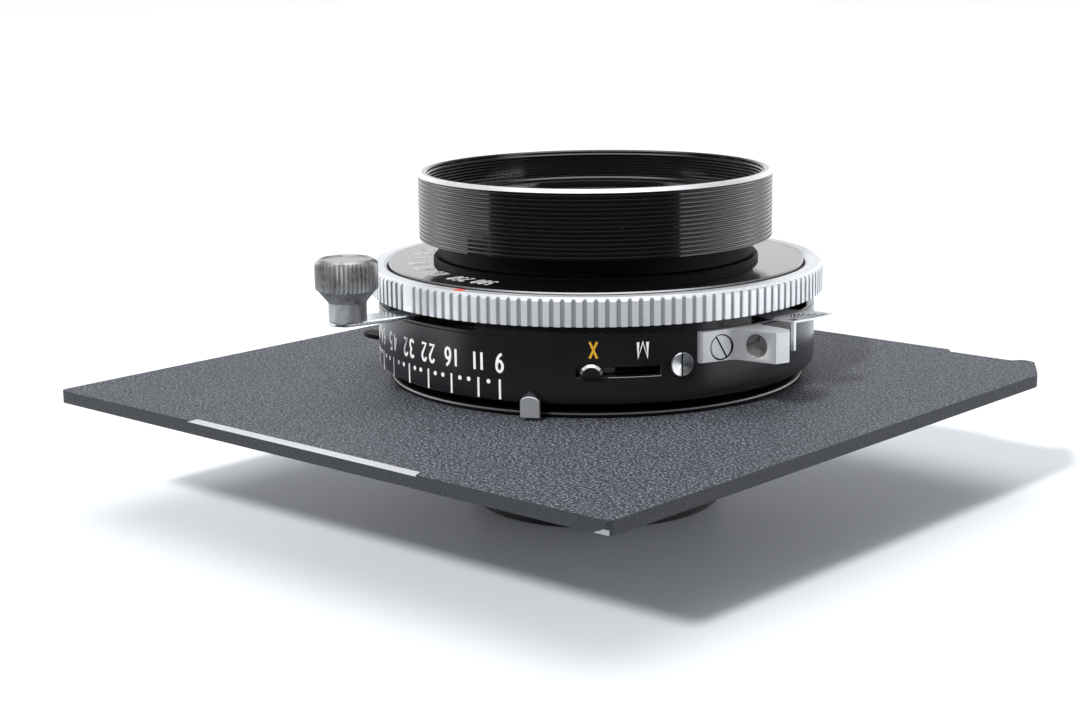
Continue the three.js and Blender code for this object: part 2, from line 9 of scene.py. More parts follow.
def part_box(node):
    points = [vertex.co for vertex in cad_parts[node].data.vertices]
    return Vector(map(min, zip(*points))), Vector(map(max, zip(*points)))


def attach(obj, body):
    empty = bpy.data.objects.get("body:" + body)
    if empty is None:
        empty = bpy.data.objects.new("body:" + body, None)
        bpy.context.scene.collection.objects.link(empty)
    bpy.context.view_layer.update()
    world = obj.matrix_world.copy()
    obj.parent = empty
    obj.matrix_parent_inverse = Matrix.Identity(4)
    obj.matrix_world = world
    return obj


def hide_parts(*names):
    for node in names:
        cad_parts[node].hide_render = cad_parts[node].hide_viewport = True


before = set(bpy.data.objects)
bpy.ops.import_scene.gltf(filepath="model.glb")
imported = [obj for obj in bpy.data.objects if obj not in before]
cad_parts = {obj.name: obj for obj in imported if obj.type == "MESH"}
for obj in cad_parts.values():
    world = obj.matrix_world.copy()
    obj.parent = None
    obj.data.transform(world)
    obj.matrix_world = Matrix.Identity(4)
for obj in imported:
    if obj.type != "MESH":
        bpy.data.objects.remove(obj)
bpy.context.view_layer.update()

# Everything is laid out in millimetres about the lens axis, with z = 0 on the board's front face.
MM = 0.001
ring_low, ring_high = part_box("speed_ring")
AXIS = Vector(((ring_low.x + ring_high.x) / 2, (ring_low.y + ring_high.y) / 2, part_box("lens_board")[1].z))
ROOT = "lens_unit"
UP = Vector((0, 0, 1))

# Swaps that stand a shape drawn flat about +Z on its side: pointing along +X, or along +Y.
ALONG_X = Matrix(((0, 0, 1, 0), (1, 0, 0, 0), (0, 1, 0, 0), (0, 0, 0, 1)))
ALONG_Y = Matrix(((1, 0, 0, 0), (0, 0, 1, 0), (0, 1, 0, 0), (0, 0, 0, 1)))

# The casing's radius, how far print stands off a surface and how thick it is, in millimetres.
CASING_R = 35.0
PRINT_R = CASING_R + 0.005
PRINT_THICK = 0.03


def row(point):
    """A point about the lens axis, in millimetres, as a point of the row frame, in metres."""
    return Vector(point) * MM + AXIS


def polar(r, deg, z=None):
    a = math.radians(deg)
    flat = (r * math.cos(a), r * math.sin(a))
    return flat if z is None else (*flat, z)


def about_z(deg):
    return Matrix.Rotation(math.radians(deg), 4, "Z")


def flat_radius(point):
    return math.hypot(point.x, point.y)


# ---------------------------------------------------------------- materials

class Nodes:
    """A short way to write a node material: each call adds a node and returns its output."""

    def __init__(self, name):
        self.mat = bpy.data.materials.new(name)
        self.mat.use_nodes = True
        self.tree = self.mat.node_tree
        self.shader = self.tree.nodes["Principled BSDF"]
        self.coord = self.add("ShaderNodeTexCoord").outputs["Object"]

    def add(self, kind, **values):
        node = self.tree.nodes.new(kind)
        for key, value in values.items():
            setattr(node, key, value)
        return node

    def link(self, source, target):
        if hasattr(source, "is_output"):
            self.tree.links.new(source, target)
        else:
            target.default_value = source

    def scaled(self, scale):
        node = self.add("ShaderNodeMapping")
        self.link(self.coord, node.inputs["Vector"])
        node.inputs["Scale"].default_value = scale
        return node.outputs["Vector"]

    def noise(self, scale, detail=3.0, rough=0.5, vector=None):
        node = self.add("ShaderNodeTexNoise")
        self.link(vector or self.coord, node.inputs["Vector"])
        node.inputs["Scale"].default_value = scale
        node.inputs["Detail"].default_value = detail
        node.inputs["Roughness"].default_value = rough
        return node.outputs["Fac"]

    def cells(self, scale):
        node = self.add("ShaderNodeTexVoronoi", feature="F1")
        self.link(self.coord, node.inputs["Vector"])
        node.inputs["Scale"].default_value = scale
        return node.outputs["Distance"]

    def math(self, operation, a, b=0.0):
        node = self.add("ShaderNodeMath", operation=operation)
        self.link(a, node.inputs[0])
        self.link(b, node.inputs[1])
        return node.outputs[0]

    def remap(self, value, low, high, to_low=0.0, to_high=1.0):
        node = self.add("ShaderNodeMapRange")
        for socket, v in zip(node.inputs, (value, low, high, to_low, to_high)):
            self.link(v, socket)
        return node.outputs[0]

    def mix(self, factor, a, b):
        node = self.add("ShaderNodeMix", data_type="RGBA")
        self.link(factor, node.inputs["Factor"])
        for socket, colour in ((node.inputs[6], a), (node.inputs[7], b)):
            self.link(colour if hasattr(colour, "is_output") else (*colour, 1.0), socket)
        return node.outputs[2]

    def bump(self, height, strength, distance):
        node = self.add("ShaderNodeBump")
        node.inputs["Strength"].default_value = strength
        node.inputs["Distance"].default_value = distance
        self.link(height, node.inputs["Height"])
        self.link(node.outputs["Normal"], self.shader.inputs["Normal"])

    def split(self):
        node = self.add("ShaderNodeSeparateXYZ")
        self.link(self.coord, node.inputs[0])
        return node.outputs

    def wear(self, low=0.53, high=0.6):
        """High on convex edges, where a coating rubs through."""
        node = self.add("ShaderNodeNewGeometry")
        return self.remap(node.outputs["Pointiness"], low, high)

    def set(self, **values):
        names = {"color": "Base Color", "rough": "Roughness", "metal": "Metallic", "coat": "Coat Weight",
                 "coat_rough": "Coat Roughness", "ior": "IOR", "aniso": "Anisotropic", "spec": "Specular IOR Level",
                 "clear": "Transmission Weight"}
        for key, value in values.items():
            if key == "color" and not hasattr(value, "is_output"):
                value = (*value, 1.0)
            self.link(value, self.shader.inputs[names[key]])
        return self.mat


def board_paint():
    n = Nodes("board_paint")
    pebble = n.cells(2300.0)
    fine = n.noise(2600.0, 2.0, 0.55)
    broad = n.noise(45.0, 3.0)
    normal = n.add("ShaderNodeNewGeometry").outputs["True Normal"]
    upward = n.add("ShaderNodeSeparateXYZ")
    n.link(normal, upward.inputs[0])
    flat = n.remap(upward.outputs[2], 0.4, 0.8)
    height = n.math("ADD", n.math("MULTIPLY", pebble, 0.9), n.math("MULTIPLY", fine, 0.7))
    n.bump(n.math("MULTIPLY", height, n.remap(flat, 0.0, 1.0, 0.3, 1.0)), 1.0, 0.00022)
    # The grain's crests on upward faces are painted lighter: a painted highlight on the pebbles.
    painted_crest_highlight = n.math("MULTIPLY", n.remap(fine, 0.5, 0.64), flat)
    base = n.mix(broad, (0.030, 0.033, 0.040), (0.046, 0.050, 0.060))
    base = n.mix(n.math("MULTIPLY", painted_crest_highlight, 0.9), base, (0.27, 0.285, 0.33))
    # Faces that don't face up are mixed towards a darker colour: painted shade on the board's sides.
    base = n.mix(flat, (0.024, 0.026, 0.030), base)
    rough = n.remap(fine, 0.3, 0.75, 0.5, 0.72)
    return n.set(color=base, rough=rough, spec=0.3)


def black_paint(name="black_paint", rough_low=0.17, rough_high=0.25, base=(0.007, 0.007, 0.008), spec=0.45):
    n = Nodes(name)
    fine = n.noise(4200.0, 3.0)
    broad = n.noise(90.0, 4.0)
    dust = n.math("GREATER_THAN", n.noise(5200.0, 2.0), 0.74)
    colour = n.mix(broad, base, tuple(c * 1.5 for c in base))
    colour = n.mix(n.math("MULTIPLY", dust, 0.35), colour, (0.16, 0.16, 0.17))
    n.bump(n.math("ADD", fine, n.math("MULTIPLY", dust, 0.6)), 0.12, 0.00006)
    return n.set(color=colour, rough=n.remap(broad, 0.3, 0.7, rough_low, rough_high), spec=spec)


def gloss_black(name="gloss_black", rough=0.08, spec=0.95):
    n = Nodes(name)
    broad = n.noise(70.0, 4.0)
    wipe = n.noise(600.0, 3.0, vector=n.scaled((1, 1, 12)))
    dust = n.math("GREATER_THAN", n.noise(3900.0, 2.0), 0.76)
    colour = n.mix(n.math("MULTIPLY", dust, 0.5), (0.004, 0.004, 0.0045), (0.2, 0.2, 0.21))
    n.bump(n.math("ADD", wipe, dust), 0.05, 0.00004)
    return n.set(color=colour, rough=n.remap(broad, 0.3, 0.7, rough * 0.8, rough * 1.3), spec=spec)


def metal(name, colour, rough, grain=2500.0, strength=0.15, stain=None, brushed=(1, 1, 1), edge=0.0, bright=1.0):
    n = Nodes(name)
    fine = n.noise(grain, 4.0, 0.6, n.scaled(brushed))
    broad = n.noise(170.0, 4.0)
    tint = n.mix(broad, tuple(c * 0.86 for c in colour), colour)
    if stain:
        spots = n.remap(n.noise(650.0, 5.0, 0.65), 0.5, 0.68)
        tint = n.mix(n.math("MULTIPLY", spots, 0.75), tint, stain)
    if edge:
        tint = n.mix(n.math("MULTIPLY", n.wear(), edge), tint, (0.9, 0.9, 0.9))
    n.bump(fine, strength, 0.00006)
    return n.set(color=tint, rough=n.remap(fine, 0.3, 0.7, rough * 0.8, rough * 1.25), metal=bright)


def print_paint(name, colour):
    n = Nodes(name)
    fine = n.noise(3000.0, 3.0)
    tint = n.mix(fine, tuple(c * 0.8 for c in colour), colour)
    n.bump(fine, 0.2, 0.00003)
    return n.set(color=tint, rough=n.remap(fine, 0.3, 0.7, 0.4, 0.6))


def lens_glass(name, tint=(0.93, 0.95, 1.0)):
    n = Nodes(name)
    smear = n.noise(45.0, 4.0)
    n.bump(smear, 0.02, 0.0001)
    n.set(color=tint, rough=n.remap(smear, 0.4, 0.8, 0.0, 0.03), clear=1.0, ior=1.25)
    n.shader.inputs["Coat Weight"].default_value = 0.2
    n.shader.inputs["Coat IOR"].default_value = 1.5
    n.shader.inputs["Coat Tint"].default_value = (0.86, 0.84, 1.0, 1.0)
    return n.mat


M = {
    "board": board_paint(),
    "black": black_paint(),
    # Matt near-black: the colour of some dark parts, and painted shade in slots, recesses, grooves and under
    # overhangs.
    "slot_black": black_paint("matt_black_and_painted_shade", 0.45, 0.6, (0.0018, 0.0018, 0.0018), 0.08),
    "gloss": gloss_black(),
    "dial": gloss_black("dial_black", 0.08, 0.7),
    "chrome": metal("bead_blasted_chrome", (0.80, 0.82, 0.85), 0.38, 2200.0, 0.35, bright=0.5),
    # A darker chrome for painted shade: in the speed ring's grooves, and on the pointer's face beside its bright
    # band.
    "chrome_with_painted_shade": metal("chrome_with_painted_shade", (0.40, 0.41, 0.43), 0.42, 2200.0, 0.35, bright=0.5),
    "satin": metal("satin_nickel", (0.62, 0.63, 0.65), 0.38, 3000.0, 0.25, bright=0.65),
    "dark_thread": metal("thread_metal", (0.52, 0.50, 0.48), 0.22, 2600.0, 0.1, bright=0.9),
    "worn_edge": metal("worn_edge", (0.15, 0.15, 0.155), 0.36, 2600.0, 0.3, bright=0.6),
    # Pale metal: worn-through paint at the board's chip and the sync slot's edge, and a painted highlight on that
    # edge and on the dial's outer chamfer.
    "line": metal("worn_metal_and_painted_highlight", (0.45, 0.45, 0.46), 0.3, 3000.0, 0.2),
    "aged": metal("aged_nickel", (0.45, 0.455, 0.46), 0.34, 1800.0, 0.35, stain=(0.14, 0.13, 0.105), bright=0.75),
    "bare": metal("bare_aluminium", (0.76, 0.77, 0.79), 0.5, 1500.0, 0.35, brushed=(0.08, 1, 1), bright=0.5),
    "turned": metal("turned_steel", (0.74, 0.75, 0.77), 0.24, 2600.0, 0.12),
    "dark_steel": metal("dark_steel", (0.10, 0.10, 0.105), 0.4, 2400.0, 0.2, edge=0.3),
    "brass": metal("machined_brass", (0.62, 0.47, 0.22), 0.32, 2400.0, 0.2),
    # Bright metal: polished lips and edges, and a painted highlight on the sync lug's top.
    "rim": metal("polished_rim_and_painted_highlight", (0.85, 0.86, 0.88), 0.32, 2600.0, 0.08, bright=0.6),
    "white": print_paint("white_paint", (0.86, 0.86, 0.86)),
    "amber": print_paint("amber_paint", (0.66, 0.35, 0.02)),
    "red": print_paint("red_paint", (0.85, 0.12, 0.08)),
    "insulator": print_paint("moulded_insulator", (0.62, 0.58, 0.48)),
    "glass": lens_glass("coated_glass"),
}


# ---------------------------------------------------------------- mesh helpers

def to_object(bm, name):
    """Moves a bmesh in lens-axis millimetres to the row frame, as an object of the scene."""
    bmesh.ops.remove_doubles(bm, verts=bm.verts, dist=1e-4)
    bmesh.ops.recalc_face_normals(bm, faces=bm.faces)
    for v in bm.verts:
        v.co = row(v.co)
    mesh = bpy.data.meshes.new(name)
    bm.to_mesh(mesh)
    bm.free()
    obj = bpy.data.objects.new(name, mesh)
    bpy.context.scene.collection.objects.link(obj)
    return obj


def finish_mesh(bm, name, material, body, replaces=(), slot=None, smooth=30.0, bevel=0.0, cuts=()):
    """Turns a bmesh in lens-axis millimetres into a piece that rides on a CAD body."""
    obj = to_object(bm, name)
    for m in material if isinstance(material, (list, tuple)) else [material]:
        obj.data.materials.append(M[m])
    for tool in cuts:
        mod = obj.modifiers.new("cut", "BOOLEAN")
        mod.operation = "DIFFERENCE"
        mod.solver = "EXACT"
        mod.object = tool
    if bevel:
        mod = obj.modifiers.new("bevel", "BEVEL")
        mod.width = bevel * MM
        mod.segments = 1
        mod.limit_method = "ANGLE"
        mod.angle_limit = math.radians(40)
        mod.use_clamp_overlap = True
    if obj.modifiers:
        bpy.context.view_layer.update()
        done = bpy.data.meshes.new_from_object(obj.evaluated_get(bpy.context.evaluated_depsgraph_get()))
        obj.modifiers.clear()
        obj.data = done
        done.name = name
    for tool in cuts:
        bpy.data.objects.remove(tool)
    obj.data.shade_smooth()
    obj.data.set_sharp_from_angle(angle=math.radians(smooth))
    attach(obj, body)
    if replaces:
        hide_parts(*([replaces] if isinstance(replaces, str) else replaces))
    return obj


def paint_faces(obj, index, chosen):
    """Gives a slot of the piece to the faces for which chosen(centre, normal) holds, in lens-axis millimetres."""
    for face in obj.data.polygons:
        if chosen((face.center - AXIS) / MM, face.normal):
            face.material_index = index


def join_rings(bm, rings):
    """Adds faces between each ring of vertices and the next."""
    for low, high in zip(rings, rings[1:]):
        for i in range(len(low)):
            j = (i + 1) % len(low)
            bm.faces.new((low[i], low[j], high[j], high[i]))


def add_turned(bm, profile, segments=128, centre=(0.0, 0.0), closed=True):
    """Adds a profile of (radius, height) pairs turned about a vertical axis."""
    rings = []
    for r, z in profile:
        rings.append([bm.verts.new((centre[0] + r * math.cos(2 * math.pi * i / segments),
                                    centre[1] + r * math.sin(2 * math.pi * i / segments), z))
                      for i in range(segments)])
    join_rings(bm, rings + ([rings[0]] if closed else []))
    return bm


def turned(name, profile, material, body=ROOT, segments=128, centre=(0.0, 0.0), **rest):
    on_axis = profile[0][0] == 0 and profile[-1][0] == 0
    bm = add_turned(bmesh.new(), profile, segments, centre, closed=not on_axis)
    if on_axis:
        bmesh.ops.remove_doubles(bm, verts=bm.verts, dist=1e-5)
    return finish_mesh(bm, name, material, body, **rest)


def add_prism(bm, outline, z0, z1, holes=()):
    """Adds a flat outline with holes, raised from z0 to z1."""
    loops = [outline, *holes]
    flat = [p for loop in loops for p in loop]
    faces = tessellate_polygon([[Vector((x, y, 0)) for x, y in loop] for loop in loops])
    low = [bm.verts.new((x, y, z0)) for x, y in flat]
    high = [bm.verts.new((x, y, z1)) for x, y in flat]
    for a, b, c in faces:
        bm.faces.new((low[a], low[b], low[c]))
        bm.faces.new((high[a], high[b], high[c]))
    start = 0
    for loop in loops:
        count = len(loop)
        for i in range(count):
            a, b = start + i, start + (i + 1) % count
            bm.faces.new((low[a], low[b], high[b], high[a]))
        start += count
    bmesh.ops.recalc_face_normals(bm, faces=bm.faces)
    bmesh.ops.dissolve_limit(bm, angle_limit=math.radians(0.5), verts=bm.verts, edges=bm.edges)
    return bm


def prism(name, outline, z0, z1, material, body=ROOT, holes=(), **rest):
    return finish_mesh(add_prism(bmesh.new(), outline, z0, z1, holes), name, material, body, **rest)


def arc(r, start, end, step=2.0, centre=(0.0, 0.0)):
    count = max(1, round(abs(end - start) / step))
    points = []
    for i in range(count + 1):
        x, y = polar(r, start + (end - start) * i / count)
        points.append((x + centre[0], y + centre[1]))
    return points


def circle(r, segments=96, centre=(0.0, 0.0)):
    return arc(r, 0, 360, 360 / segments, centre)[:-1]


def rounded(points, radii, steps=5):
    """Rounds the corners of an outline: one radius for each point."""
    out = []
    for i, (p, r) in enumerate(zip(points, radii)):
        p = Vector(p)
        a = Vector(points[i - 1]) - p
        b = Vector(points[(i + 1) % len(points)]) - p
        if r <= 0:
            out.append(tuple(p))
            continue
        start, end = p + a.normalized() * r, p + b.normalized() * r
        for k in range(steps + 1):
            t = k / steps
            out.append(tuple(start * (1 - t) ** 2 + p * 2 * t * (1 - t) + end * t * t))
    return out


def cutter(bm):
    """A hidden solid that another piece is cut by."""
    obj = to_object(bm, "cutter")
    obj.hide_render = True
    return obj


def wedge(r0, r1, start, end, z0, z1):
    return cutter(add_prism(bmesh.new(), arc(r0, start, end, 3) + arc(r1, end, start, 3), z0, z1))


def outward(deg, z, r, shift=0.0):
    """Stands a shape that was made about +Z on the casing's side, pointing outwards, its +Y upwards."""
    return about_z(deg) @ Matrix.Translation((r, shift, z)) @ ALONG_X


# ---------------------------------------------------------------- board

BOARD_HALF = 57.0
BOARD_THICK = 2.0
BOARD_Y = -AXIS.y / MM
CORNER_CUT = (5.3, 8.6)
NOTCH = {"x0": 35.8, "x1": 49.4, "depth": 1.5, "slope": 1.0}
BARE = {"x0": -25.5, "x1": 23.9, "width": 1.35, "depth": 0.24}


def bare_edge(edge):
    """The wedge that is filed off the board's front edge, narrowing a little upwards at its ends."""
    width, depth = BARE["width"], BARE["depth"]
    profile = [(edge - 1, 1.0), (edge + width * 1.3, 1.0), (edge + width * 1.3, depth * 0.3),
               (edge - 1, -depth * (1 + 1 / width))]
    bm = bmesh.new()
    low = [bm.verts.new((BARE["x0"] + (1.5 if y > edge else 0), y, z)) for y, z in profile]
    high = [bm.verts.new((BARE["x1"] - (1.2 if y > edge else 0), y, z)) for y, z in profile]
    bm.faces.new(low)
    bm.faces.new(high)
    join_rings(bm, [low, high])
    return cutter(bm)


def corner_chip(edge):
    """The worn spot low on the board's near corner."""
    h = BOARD_HALF
    nick = [(h - 2.9, -1.9), (h - 1.7, -1.5), (h - 1.1, -1.2), (h - 0.3, -1.25), (h - 0.3, -3.0), (h - 2.9, -3.0)]
    chip = add_prism(bmesh.new(), nick, edge - 1, edge + 0.25)
    chip.transform(ALONG_Y)
    return cutter(chip)


def lens_board():
    h = BOARD_HALF
    x0, x1, deep, slope = NOTCH["x0"], NOTCH["x1"], h - NOTCH["depth"], NOTCH["slope"]
    corners = [(-h, -h), (h, -h), (h, h - CORNER_CUT[1]), (h - CORNER_CUT[0], h), (x1, h), (x1 - slope, deep),
               (x0 + slope, deep), (x0, h), (-h, h)]
    outline = rounded([(x, y + BOARD_Y) for x, y in corners], [1.2, 0.9, 1.2, 1.2, 0.4, 0.4, 0.4, 0.4, 1.2])
    edge = -h + BOARD_Y
    sheet = add_prism(bmesh.new(), outline, -BOARD_THICK, 0.0, [circle(20.9)])
    board = finish_mesh(sheet, "lens_board_sheet", ["board", "bare", "line"], ROOT, replaces="lens_board",
                        slot="board_paint", bevel=0.12, cuts=[bare_edge(edge), corner_chip(edge)])

    def on_bare_edge(c, n):
        return c.y < edge + 1.9 and BARE["x0"] - 1.3 < c.x < BARE["x1"] + 0.3 and n.z > 0.9 and n.y < -0.05

    def in_chip(c, n):
        return h - 3.5 < c.x < h - 0.3 and edge + 0.2 < c.y < edge + 0.35 and c.z < -0.9

    paint_faces(board, 1, on_bare_edge)
    paint_faces(board, 2, in_chip)


def board_fittings():
    ring = [(20.6, -3.6), (20.8, -3.8), (24.3, -3.8), (24.6, -3.5), (24.6, -2.0), (20.6, -2.0)]
    notches = [wedge(23.4, 26, a - 3, a + 3, -5, -2.9) for a in (0, 90, 180, 270)]
    turned("retaining_ring_turned", ring, "dark_steel", replaces="retaining_ring", slot="dark_steel", cuts=notches)
    flange = [(18.1, -5.5), (20.2, -5.5), (20.3, -5.3)]
    for i in range(6):
        flange += [(20.3, -5.2 + i * 0.5), (20.05, -4.95 + i * 0.5)]
    flange += [(20.3, -2.0), (20.3, 0.0), (33.0, 0.0), (33.1, 0.1), (33.1, 0.52), (32.98, 0.76), (32.7, 0.95),
               (31.0, 1.2), (18.1, 1.2)]
    disc = turned("shutter_flange_turned", flange, ["slot_black", "worn_edge"], replaces="shutter_flange",
                  slot="satin_steel", segments=192, smooth=24)
    paint_faces(disc, 1, lambda c, n: 0.53 < c.z < 0.75 and flat_radius(c) > 32.9)


# ---------------------------------------------------------------- shutter body

def worn_and_painted_highlight_slot_edge(c, n):
    """True on the bevel along the sync slot's lower edge and at its right end: worn-off paint, and a painted
    highlight on the bevel that faces up.
    """
    deg = math.degrees(math.atan2(c.y, c.x))
    if flat_radius(c) <= 34.9 or not -54.5 < deg < -33.4 or not 6.4 < c.z < 8.15:
        return False
    lower_edge = n.z > 0.3 and c.z < 6.7 and deg > -46.5
    off_wall = n.x * c.x + n.y * c.y < 0.96 * flat_radius(c)
    return lower_edge or (deg > -34.0 and abs(n.z) < 0.3 and c.z > 6.6 and off_wall)


def casings():
    shell = [(31.2, 2.1), (33.3, 2.1), (33.9, 2.25), (34.4, 2.5), (34.75, 2.9), (34.93, 3.35)]
    shell += [(CASING_R, z) for z in (3.8, 4.2, 6.3, 8.3, 12.1)]
    shell += [(34.93, 12.2), (32.6, 12.2), (32.6, 4.1), (31.2, 4.1)]
    slot = wedge(31, 37, -54.2, -33.75, 6.54, 8.02)
    lower = turned("lower_casing_shell", shell, ["black", "line"], replaces="lower_casing", slot="black_paint",
                   segments=240, cuts=[slot], bevel=0.05)
    paint_faces(lower, 1, worn_and_painted_highlight_slot_edge)
    upper = [(32.0, 12.2), (34.86, 12.2), (34.92, 12.26), (34.92, 14.02), (34.84, 14.1), (32.0, 14.1)]
    windows = [wedge(31, 37, -152, -79.85, 12.6, 15), wedge(31, 37, -8, 20, 12.6, 15)]
    turned("upper_casing_shell", upper, "black", replaces="upper_casing", slot="black_paint",
           segments=240, cuts=windows)


def oval(cx, cy, rx, ry, start=0.0, end=360.0, steps=16):
    return [(cx + rx * math.cos(math.radians(start + (end - start) * k / steps)),
             cy + ry * math.sin(math.radians(start + (end - start) * k / steps))) for k in range(steps + 1)]


def turned_over(lines):
    return [[(1 - x, 1 - y) for x, y in line] for line in lines]


# Each sign as the middle lines of its strokes, in a cell one unit wide and one unit high.
SIX = [oval(0.5, 0.3, 0.5, 0.3), oval(1.02, 0.3, 1.02, 0.7, 180, 97, 10)]
SIGNS = {
    "0": [oval(0.5, 0.7, 0.5, 0.3, 0, 180, 10) + oval(0.5, 0.3, 0.5, 0.3, 180, 360, 10) + [(1.0, 0.7)]],
    "1": [[(0.5, 0.0), (0.5, 1.0)]],
    "2": [oval(0.5, 0.73, 0.48, 0.27, 165, -35, 12) + [(0.0, 0.0), (1.0, 0.0)]],
    "3": [oval(0.48, 0.76, 0.44, 0.24, 155, -90, 12), oval(0.5, 0.26, 0.5, 0.26, 90, -155, 12)],
    "4": [[(0.76, 0.0), (0.76, 1.0)], [(0.76, 1.0), (0.0, 0.28), (1.0, 0.28)]],
    "5": [[(0.92, 1.0), (0.16, 1.0), (0.1, 0.54)] + oval(0.48, 0.32, 0.52, 0.32, 130, -150, 12)],
    "6": SIX,
    "8": [oval(0.5, 0.76, 0.42, 0.24), oval(0.5, 0.26, 0.5, 0.26)],
    "9": turned_over(SIX),
    "X": [[(0.0, 0.0), (1.0, 1.0)], [(0.0, 1.0), (1.0, 0.0)]],
    "M": [[(0.0, 0.0), (0.0, 1.0), (0.5, 0.0), (1.0, 1.0), (1.0, 0.0)]],
    "B": [[(0.0, 0.0), (0.0, 1.0), (0.55, 1.0)] + oval(0.55, 0.76, 0.38, 0.24, 60, -90, 8) + [(0.0, 0.52)],
          [(0.0, 0.52), (0.55, 0.52)] + oval(0.55, 0.26, 0.45, 0.26, 60, -90, 8) + [(0.0, 0.0)]],
    "T": [[(0.0, 1.0), (1.0, 1.0)], [(0.5, 1.0), (0.5, 0.0)]],
}


def add_stroke(bm, line, width, place):
    """Adds one flat stroke of even width along a line, mitred at its corners."""
    closed = math.dist(line[0], line[-1]) < 1e-6
    points = line[:-1] if closed else line
    count = len(points)
    left, right = [], []
    for i, p in enumerate(points):
        a = points[i - 1] if closed or i else p
        b = points[(i + 1) % count] if closed or i < count - 1 else p
        into = Vector((p[0] - a[0], p[1] - a[1])) if a != p else Vector((b[0] - p[0], b[1] - p[1]))
        away = Vector((b[0] - p[0], b[1] - p[1])) if b != p else into
        into.normalize()
        away.normalize()
        middle = Vector((-into.y - away.y, into.x + away.x)).normalized()
        reach = width / 2 / max(0.92, middle.dot(Vector((-into.y, into.x))))
        left.append(bm.verts.new(place(p[0] + middle.x * reach, p[1] + middle.y * reach)))
        right.append(bm.verts.new(place(p[0] - middle.x * reach, p[1] - middle.y * reach)))
    for i in range(count if closed else count - 1):
        j = (i + 1) % count
        bm.faces.new((right[i], right[j], left[j], left[i]))


def add_sign_row(bm, text, place, height, width, gap, stroke, bar_width):
    """Adds a row of signs, centred on its own middle; every point is passed through place(x, y)."""
    widths = [bar_width if c == "1" else width for c in text]
    x = -(sum(widths) + gap * (len(text) - 1)) / 2
    for c, w in zip(text, widths):
        wide, tall = w - stroke, height - stroke
        for line in SIGNS[c]:
            shape = [(x + stroke / 2 + px * wide, (py - 0.5) * tall) for px, py in line]
            add_stroke(bm, shape, stroke, place)
        x += w + gap


def raise_print(bm, name, material, body, away):
    """Gives flat print a little thickness, outwards from the surface that it lies on, and makes it a piece."""
    bmesh.ops.remove_doubles(bm, verts=bm.verts, dist=1e-4)
    faces = list(bm.faces)
    made = bmesh.ops.extrude_face_region(bm, geom=faces)["geom"]
    for v in [g for g in made if isinstance(g, bmesh.types.BMVert)]:
        v.co += away(v.co) * PRINT_THICK
    return finish_mesh(bm, name, material, body, smooth=40)


def on_wall(deg, z):
    """Puts flat print on the casing's wall, its tops towards the board."""
    def place(x, y):
        return polar(PRINT_R, deg - math.degrees(x / PRINT_R), z - y)
    return place


def radial(co):
    return Vector((co.x, co.y, 0)).normalized()


F_STOPS = [("9", -73.2), ("11", -79.15), ("16", -87.4), ("22", -95.6), ("32", -103.9), ("45", -113.0),
           ("64", -122.0), ("90", -131.0)]
STOP_DOTS = [-76.3, -82.0, -84.7, -90.3, -93.0, -98.7, -101.3, -106.8, -109.7, -115.9, -119.1, -124.9, -128.1]


def bar(bm, deg, width, z0, z1):
    half = math.degrees(width / 2 / PRINT_R)
    corners = ((-half, z0), (half, z0), (half, z1), (-half, z1))
    bm.faces.new([bm.verts.new(polar(PRINT_R, deg + turn, z)) for turn, z in corners])


def dot(bm, deg, z, radius):
    verts = []
    for x, y in circle(radius, 16):
        verts.append(bm.verts.new(polar(PRINT_R, deg + math.degrees(x / PRINT_R), z + y)))
    bm.faces.new(verts)


def wall_print():
    bm = bmesh.new()
    for text, deg in F_STOPS:
        bar(bm, deg, 0.34, 2.75, 5.75)
        add_sign_row(bm, text, on_wall(deg, 8.22), 3.05, 1.4, 0.45, 0.42, 0.8)
    for deg in STOP_DOTS:
        dot(bm, deg, 5.3, 0.34)
    add_sign_row(bm, "M", on_wall(-38.2, 10.47), 2.75, 1.82, 0.0, 0.42, 0.0)
    raise_print(bm, "aperture_scale_print", "white", ROOT, radial)
    bm = bmesh.new()
    add_sign_row(bm, "X", on_wall(-50.0, 10.62), 2.8, 1.42, 0.0, 0.34, 0.0)
    raise_print(bm, "sync_mark_print", "amber", ROOT, radial)


POINTER_ANGLE = -65.0


def pointer():
    """The tab with its rounded front face, a band of bright chrome round that face as a painted highlight, and the
    pointed plate behind it, painted dark as shade.
    """
    bm = bmesh.new()
    w = 1.45
    front = [(-w, 0.6), (w, 0.6)] + oval(0.0, 2.75, w, 0.85, 0, 180, 12)
    tip = [(-w, 0.6), (w, 0.6), (w, 3.2), (0.0, 4.5), (-w, 3.2)]
    face = [bm.verts.new((36.15, y, z)) for y, z in front]
    mid = [bm.verts.new((35.98, y, z + (0.12 if z > 2 else -0.05))) for y, z in front]
    bm.faces.new(face)
    # The band round the face gets bright chrome: a painted highlight.
    for i in range(len(face)):
        j = (i + 1) % len(face)
        bm.faces.new((face[i], face[j], mid[j], mid[i])).material_index = 2
    bm.faces.new(list(reversed(mid)))
    back = add_prism(bmesh.new(), tip, 0.0, 0.55)
    back.transform(Matrix.Translation((35.38, 0, 0)) @ ALONG_X)
    # The pointed plate gets dark steel: painted shade on the tab's sloping top.
    for side in back.faces:
        side.material_index = 1
    plate = bpy.data.meshes.new("pointer_plate")
    back.to_mesh(plate)
    back.free()
    bm.from_mesh(plate)
    bpy.data.meshes.remove(plate)
    bm.transform(about_z(POINTER_ANGLE))
    finish_mesh(bm, "aperture_pointer_tab", ["chrome_with_painted_shade", "dark_steel", "chrome"], "aperture_control",
                replaces="aperture_pointer", slot="satin_steel", smooth=28)


# Half the width of a screw's slot, and its depth.
SLOT_HALF = 0.13
SLOT_DEPTH = 0.3


